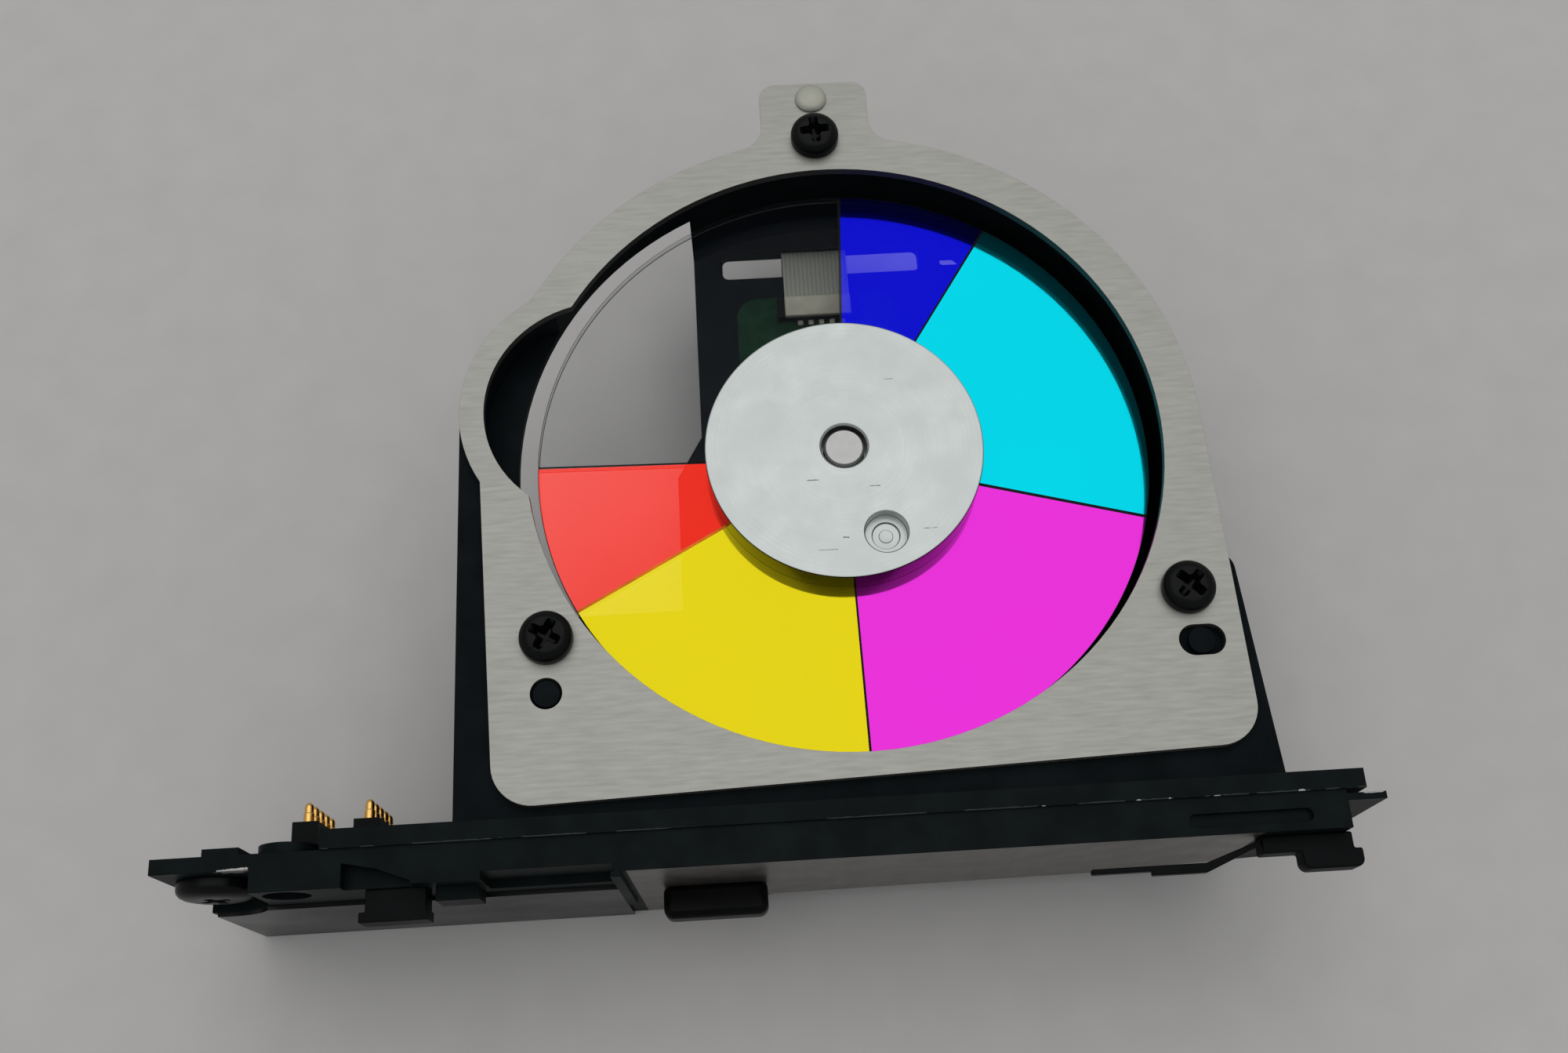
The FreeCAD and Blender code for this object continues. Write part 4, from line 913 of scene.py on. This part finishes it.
def corners(node: str) -> tuple[Vector, Vector]:
    """Find the lowest and highest corner of a node, in millimetres."""
    low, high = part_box(node)
    return low / MM, high / MM


# Sub-assemblies


@dataclass(frozen=True)
class Segment:
    """One color of the wheel: its angle, its coating, and the line at its clockwise end."""

    name: str
    angle: float
    coating: CoatedGlass | None = None
    line: Painted = SEAM_BLACK
    line_width: float = 0.12


@dataclass
class GlassWheel:
    """The six glass wedges, the lines between them and the hub disc on them."""

    radius: float = 33.0
    bore: float = 9.0
    wheel_angle: float = 86.7
    gap: float = 0.14
    glass_chamfer: float = 0.09
    line_start: float = 14.0
    line_inset: float = 0.1
    line_height: float = 0.01
    line_rounding: float = 0.003
    hub_chamfer: float = 0.1
    hub_rounding: float = 0.25
    hub_shoulder: float = 0.07
    hub_steps: int = 192
    hole_radius: float = 2.45
    hole_chamfer: float = 0.25
    overshoot: float = 0.5
    balance_place: Pair = (3.7, -10.0)
    balance_lip: float = 0.2
    balance_rings: tuple[Pair, ...] = ((0.15, 1.62), (0.7, 1.52), (0.76, 1.6), (1.4, 1.54), (1.5, 1.62),
                                       (1.52, 1.3), (2.2, 1.3), (2.27, 1.22))
    segments: tuple[Segment, ...] = (
        Segment("blue", 30.0, CoatedGlass((0.005, 0.006, 0.66), 0.66)),
        Segment("cyan", 72.0, CoatedGlass((0.001, 0.52, 0.62), 0.95), line_width=0.34),
        Segment("magenta", 74.0, CoatedGlass((0.64, 0.026, 0.54), 0.94)),
        Segment("yellow", 62.0, CoatedGlass((0.72, 0.6, 0.009), 0.8), SEAM_ORANGE, 0.3),
        Segment("red", 30.0, CoatedGlass((0.9, 0.032, 0.018), 0.68)),
        Segment("clear", 92.0, line_width=0.0))

    def build_glass(self) -> None:
        """Make each wedge, clockwise, with a coated front, a clear back and ground edges."""
        clear, ground = CLEAR_FACE.material("clear_glass"), GROUND_EDGE.material("ground_edge")
        # The chamfers take a dark, nearly opaque finish, painted shade.
        chamfer_shade = EDGE_CHAMFER_SHADE.material("edge_chamfer")
        end = self.wheel_angle
        for segment in self.segments:
            end -= segment.angle
            low, high = corners(f"segment_{segment.name}")
            piece = wedge(f"{segment.name}_glass", (self.bore, self.radius), (low.z, high.z),
                          end + self.gap / 2, segment.angle - self.gap)
            front = segment.coating.material(f"{segment.name}_coating") if segment.coating else clear
            paint(piece, front, clear, ground, chamfer_shade)
            for face in piece.data.polygons:
                face.material_index = 0 if face.normal.z > 0.5 else 1 if face.normal.z < -0.5 else 2
            bevel(piece, self.glass_chamfer, 1, 60.0, 3)
            settle(piece, Body.WHEEL, f"glass_{segment.name}", f"segment_{segment.name}")

    def build_lines(self) -> None:
        """Lay a thin line over each joint between two wedges."""
        top = corners("segment_clear")[1].z
        dark, orange = SEAM_BLACK.material("seam_black"), SEAM_ORANGE.material("seam_orange")
        end = self.wheel_angle
        for segment in self.segments:
            end -= segment.angle
            if not segment.line_width:
                continue
            half = segment.line_width / 2
            line = brick(f"{segment.name}_seam", (self.line_start, -half, top),
                         (self.radius - self.line_inset, half, top + self.line_height), self.line_rounding, 1)
            turn_to(line, Matrix.Rotation(math.radians(end), 4, "Z"))
            paint(line, orange if segment.line is SEAM_ORANGE else dark)
            settle(line, Body.WHEEL, "mark_black")

    def build_hub(self) -> None:
        """Turn the hub disc and drill its centre and balance holes."""
        low, high = corners("hub_disc")
        radius, bottom, top = high.x, low.z, high.z
        hub = turned("turned_hub", [(radius - self.hub_chamfer, bottom), (radius, bottom + self.hub_chamfer),
                                    (radius, top - self.hub_rounding),
                                    (radius - self.hub_shoulder, top - self.hub_shoulder),
                                    (radius - self.hub_rounding, top), (0.2, top)], vertices=self.hub_steps)
        mouth = self.hole_radius + self.hole_chamfer
        hole = turned("hole", [(self.hole_radius, bottom - self.overshoot), (self.hole_radius, top - 0.2),
                               (mouth, top + 0.05), (mouth, top + self.overshoot)], vertices=64)
        wide = self.balance_rings[-1][0]
        mouth = wide + self.balance_lip
        steps = [(ring, top - depth) for ring, depth in self.balance_rings]
        steps += [(wide, top - 0.12), (mouth, top + 0.08), (mouth, top + self.overshoot)]
        drill = turned("drill", steps, self.balance_place, 64)
        carve(hub, hole, drill)
        smooth(hub, 30.0)
        # The outer side gets the near-black copy of the hub metal, painted shade.
        paint(hub, TURNED_HUB.material("hub_face"), HUB_SIDE_SHADE.material("hub_side"))
        for face in hub.data.polygons:
            outer = face.center.xy.length > (radius - self.hub_chamfer) * MM
            face.material_index = int(outer and abs(face.normal.z) < 0.5)
        settle(hub, Body.WHEEL, "hub_metal", "hub_disc")

    def build(self) -> None:
        """Build the wheel."""
        self.build_glass()
        self.build_lines()
        self.build_hub()


@dataclass
class FrontCover:
    """The front sheet with rounded edges, its pan-head screws and the staked rivet."""

    edge: float = 0.05
    screw: PanScrew = PanScrew(2.7, 1.9, 1.5, 6.0, 1.85)
    screw_places: tuple[Pair, ...] = ((-31.4, -20.2), (33.4, -18.7), (-0.7, 37.7))
    screw_turns: tuple[float, ...] = (61.0, 45.0, 5.0)
    rivet_place: Pair = (-0.8, 43.1)
    rivet_shank: float = 0.9
    rivet_head: tuple[Pair, ...] = ((1.6, 0.0), (1.8, 0.15), (1.7, 0.42), (1.3, 0.62))
    rivet_top: tuple[Pair, ...] = ((0.9, -0.1), (0.4, 0.0))

    def build_sheet(self) -> None:
        """Round the sheet's edges; give it rolled grain and painted shade on its punched openings' walls."""
        sheet = softened("cover_plate", "front_plate", self.edge)
        paint(sheet, ROLLED_SHEET.material("rolled_sheet"), PUNCHED_EDGE_SHADE.material("punched_edge"))
        # Faces that look into the openings take the darker finish, painted shade.
        for face in sheet.data.polygons:
            inward = face.normal.x * face.center.x + face.normal.y * face.center.y < 0
            face.material_index = int(inward and abs(face.normal.z) < 0.9)
        settle(sheet, Body.MODULE, "plate_sheet", "front_plate")

    def build_screws(self) -> None:
        """Turn one screw and copy it to its three places."""
        seat = corners("front_plate")[1].z
        first = self.screw.build("screw")
        screws = [copied(first, Matrix.Rotation(math.radians(turn), 4, "Z"), (x, y, seat))
                  for (x, y), turn in zip(self.screw_places, self.screw_turns)]
        bpy.data.objects.remove(first)
        group = join("pan_screws", screws)
        paint(group, BLACK_SCREW.material("plate_screw_black"))
        settle(group, Body.MODULE, "screw_black", "plate_screws")

    def build_rivet(self) -> None:
        """Turn the rivet, whose head is staked down unevenly."""
        low, high = corners("locating_rivet")
        seat = corners("front_plate")[1].z
        head = [(radius, seat + height) for radius, height in self.rivet_head]
        top = [(radius, high.z + height) for radius, height in self.rivet_top]
        rivet = turned("staked_rivet", [(self.rivet_shank, low.z), (self.rivet_shank, seat), *head, *top],
                       self.rivet_place, 48)
        smooth(rivet, 50.0)
        paint(rivet, RIVET.material("rivet_head"))
        settle(rivet, Body.MODULE, "rivet_metal", "locating_rivet")

    def build(self) -> None:
        """Build the cover."""
        self.build_sheet()
        self.build_screws()
        self.build_rivet()


@dataclass
class Contacts:
    """Two headers with rows of gold pins, and the connectors of the two boards."""

    pin_radius: float = 0.525
    pin_pitch: float = 2.0
    pin_count: int = 5
    pin_rings: tuple[Pair, ...] = ((0.04, 0.0), (0.04, 1.45), (0.0, 1.5), (0.0, 2.45), (0.07, 2.55),
                                   (0.07, 3.1), (0.12, 3.3), (0.24, 3.48), (0.42, 3.6))
    header_edge: float = 0.12
    clamp_edge: float = 0.12
    clamp_drop: float = 0.35
    flap_left: float = -4.95
    flap_right: float = 2.8
    flap_height: float = 0.7
    flap_edge: float = 0.15
    tail_start: float = -3.2
    tail_pitch: float = 1.25
    tail_count: int = 5
    tail_size: Point = (0.6, 0.57, 0.4)
    tail_seat: float = 0.02
    tail_edge: float = 0.08

    def build_pins(self) -> None:
        """Turn one spring pin and copy it five times for each row."""
        rings = [(self.pin_radius - inset, height) for inset, height in self.pin_rings]
        first = smooth(turned("pin", rings, vertices=32), 30.0)
        outwards = Matrix.Rotation(math.radians(-90), 4, "X")
        for letter, body in (("a", Body.PIN_ROW_A), ("b", Body.PIN_ROW_B)):
            low, high = corners(f"contact_pins_{letter}")
            middle = (low.x + high.x) / 2
            heights = [low.z + self.pin_radius + self.pin_pitch * number for number in range(self.pin_count)]
            row = join(f"gold_pins_{letter}", [copied(first, outwards, (middle, low.y, z)) for z in heights])
            paint(row, GOLD.material(f"pin_gold_{letter}"))
            settle(row, body, "pin_gold", f"contact_pins_{letter}")
        bpy.data.objects.remove(first)

    def build_headers(self) -> None:
        """Round the edges of the two headers and of the board's connector."""
        for node, name, finish, slot in (
                ("contact_header_a", "pin_header_a", BLACK_PLASTIC, "header_black"),
                ("contact_header_b", "pin_header_b", BLACK_PLASTIC, "header_black"),
                ("board_connector", "board_socket", WHITE_PLASTIC, "connector_white")):
            piece = softened(name, node, self.header_edge)
            paint(piece, finish.material(f"{name}_finish"))
            settle(piece, Body.MODULE, slot, node)

    def build_clamp(self) -> None:
        """Make the ribbon's connector, with a pale flap between its dark ends and soldered tails."""
        low, high = corners("ribbon_connector")
        body = brick("clamp_body", low, (high.x, high.y, high.z - self.clamp_drop), self.clamp_edge, 2)
        flap = brick("clamp_flap", (self.flap_left, low.y, high.z - self.flap_height),
                     (self.flap_right, high.y, high.z), self.flap_edge)
        wide, long, tall = self.tail_size
        first = brick("tail", (-wide / 2, self.tail_seat - long, 0.0), (wide / 2, self.tail_seat, tall),
                      self.tail_edge, 2)
        starts = [self.tail_start + self.tail_pitch * number for number in range(self.tail_count)]
        tails = [copied(first, Matrix.Identity(4), (x, low.y, low.z)) for x in starts]
        bpy.data.objects.remove(first)
        dark, pale = BLACK_PLASTIC.material("clamp_black"), WHITE_PLASTIC.material("flap_white")
        for piece in (body, flap, *tails):
            paint(piece, dark, pale)
            for face in piece.data.polygons:
                face.material_index = int(piece is not body)
        settle(join("ribbon_clamp", [body, flap, *tails]), Body.MODULE, "connector_white", "ribbon_connector")

    def build(self) -> None:
        """Build the contacts."""
        self.build_pins()
        self.build_headers()
        self.build_clamp()


@dataclass
class FlangeFittings:
    """The ear screw and what stands on the flange's outer face."""

    ear_screw: PanScrew = PanScrew(3.9, 1.8, 1.5, 1.4, 1.7)
    ear_turn: float = 20.0
    moulded_edge: float = 0.2
    grip_edge: float = 0.5
    arm_edge: float = 0.1

    def build_ear_screw(self) -> None:
        """Turn the wide screw of the ear, with its head towards -Y."""
        low, high = corners("ear_screw")
        outwards = Matrix.Rotation(math.radians(90), 4, "X")
        turn = outwards @ Matrix.Rotation(math.radians(self.ear_turn), 4, "Z")
        place = ((low.x + high.x) / 2, low.y + self.ear_screw.head_height, (low.z + high.z) / 2)
        screw = turn_to(self.ear_screw.build("ear_pan_screw"), turn, place)
        paint(screw, BLACK_SCREW.material("ear_screw_black"))
        settle(screw, Body.MODULE, "screw_black", "ear_screw")

    def build_mouldings(self) -> None:
        """Round the edges of the hook, the grip, the latch and its arm."""
        plastic, rubber = BLACK_PLASTIC, BLACK_RUBBER
        for node, name, finish, slot, edge, body in (
                ("left_hook", "moulded_hook", plastic, "hook_plastic", self.moulded_edge, Body.MODULE),
                ("grip_block", "rubber_grip", rubber, "grip_rubber", self.grip_edge, Body.MODULE),
                ("latch_block", "moulded_latch", plastic, "latch_plastic", self.moulded_edge, Body.MODULE),
                ("latch_arm", "spring_arm", plastic, "latch_plastic", self.arm_edge, Body.LATCH)):
            piece = softened(name, node, edge)
            paint(piece, finish.material(f"{name}_finish"))
            settle(piece, body, slot, node)

    def build(self) -> None:
        """Build the fittings."""
        self.build_ear_screw()
        self.build_mouldings()


@dataclass
class Studio:
    """Pale floor, soft light and the camera at the photograph's angle."""

    camera_place: Point = (-10.34, -68.48, 177.15)
    right: Point = (0.99824, -0.05923, -0.0009)
    down: Point = (-0.05544, -0.92894, -0.36605)
    ahead: Point = (0.02085, 0.36545, -0.9306)
    lens: float = 36.0
    sensor: float = 36.0
    clip: Pair = (0.005, 20.0)
    floor: Color = (0.46, 0.45, 0.44)
    floor_size: float = 6.0
    floor_drop: float = 0.03
    world: float = 0.45
    world_tint: Color = (0.97, 0.98, 1.0)
    box_size: float = 2.2
    box_power: float = 15.5
    box_place: Point = (0.0, 0.65, 1.6)

    def build_camera(self) -> None:
        """Set up the camera that the photograph was taken from."""
        data = bpy.data.cameras.new("camera")
        data.lens = self.lens
        data.sensor_width = self.sensor
        data.clip_start, data.clip_end = self.clip
        camera = bpy.data.objects.new("camera", data)
        bpy.context.scene.collection.objects.link(camera)
        axes = Matrix((self.right, [-value for value in self.down], [-value for value in self.ahead]))
        camera.matrix_world = Matrix.Translation(Vector(self.camera_place) * MM) @ axes.transposed().to_4x4()
        bpy.context.scene.camera = camera

    def build_floor(self) -> None:
        """Lay a plain pale floor just under the module."""
        deselect_all()
        bpy.ops.mesh.primitive_plane_add(size=self.floor_size, location=(0, 0, -self.floor_drop * MM))
        floor = named("floor")
        shader = Shader("floor_cloth", self.floor, 0.9)
        paler = tuple(channel * 1.12 for channel in self.floor)
        shader.feed("Base Color", shader.blend(shader.noise(180.0, 6.0), self.floor, paler))
        paint(floor, shader.material)

    def build_light(self) -> None:
        """Light the scene from a wide soft box overhead and an even world."""
        world = bpy.data.worlds.new("world")
        bpy.context.scene.world = world
        world.use_nodes = True
        background = world.node_tree.nodes["Background"]
        background.inputs["Color"].default_value = (*self.world_tint, 1)
        background.inputs["Strength"].default_value = self.world
        data = bpy.data.lights.new("soft_box", "AREA")
        data.size = self.box_size
        data.energy = self.box_power
        lamp = bpy.data.objects.new("soft_box", data)
        bpy.context.scene.collection.objects.link(lamp)
        lamp.location = self.box_place

    def build(self) -> None:
        """Build the studio, whose colours render as they are written."""
        self.build_camera()
        self.build_floor()
        self.build_light()
        bpy.context.scene.view_settings.view_transform = "Standard"


def dress_nodes(nodes: dict[str, bpy.types.Object]) -> None:
    """Give every node that keeps its own mesh its finish.

    Args:
        nodes: The frame's nodes by name.
    """
    made: dict[Finish, bpy.types.Material] = {}
    for name, finish in KEPT_NODES.items():
        if finish not in made:
            made[finish] = finish.material(f"{name}_finish")
        paint(nodes[name], made[finish])
        log.info("%s keeps its mesh", name)


def main() -> None:
    """Build the looks in order around the frame."""
    logging.basicConfig(level=logging.INFO, format="%(message)s")
    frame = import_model()
    Studio().build()
    dress_nodes(frame["nodes"])
    GlassWheel().build()
    FrontCover().build()
    Contacts().build()
    FlangeFittings().build()


if __name__ == "__main__":
    main()
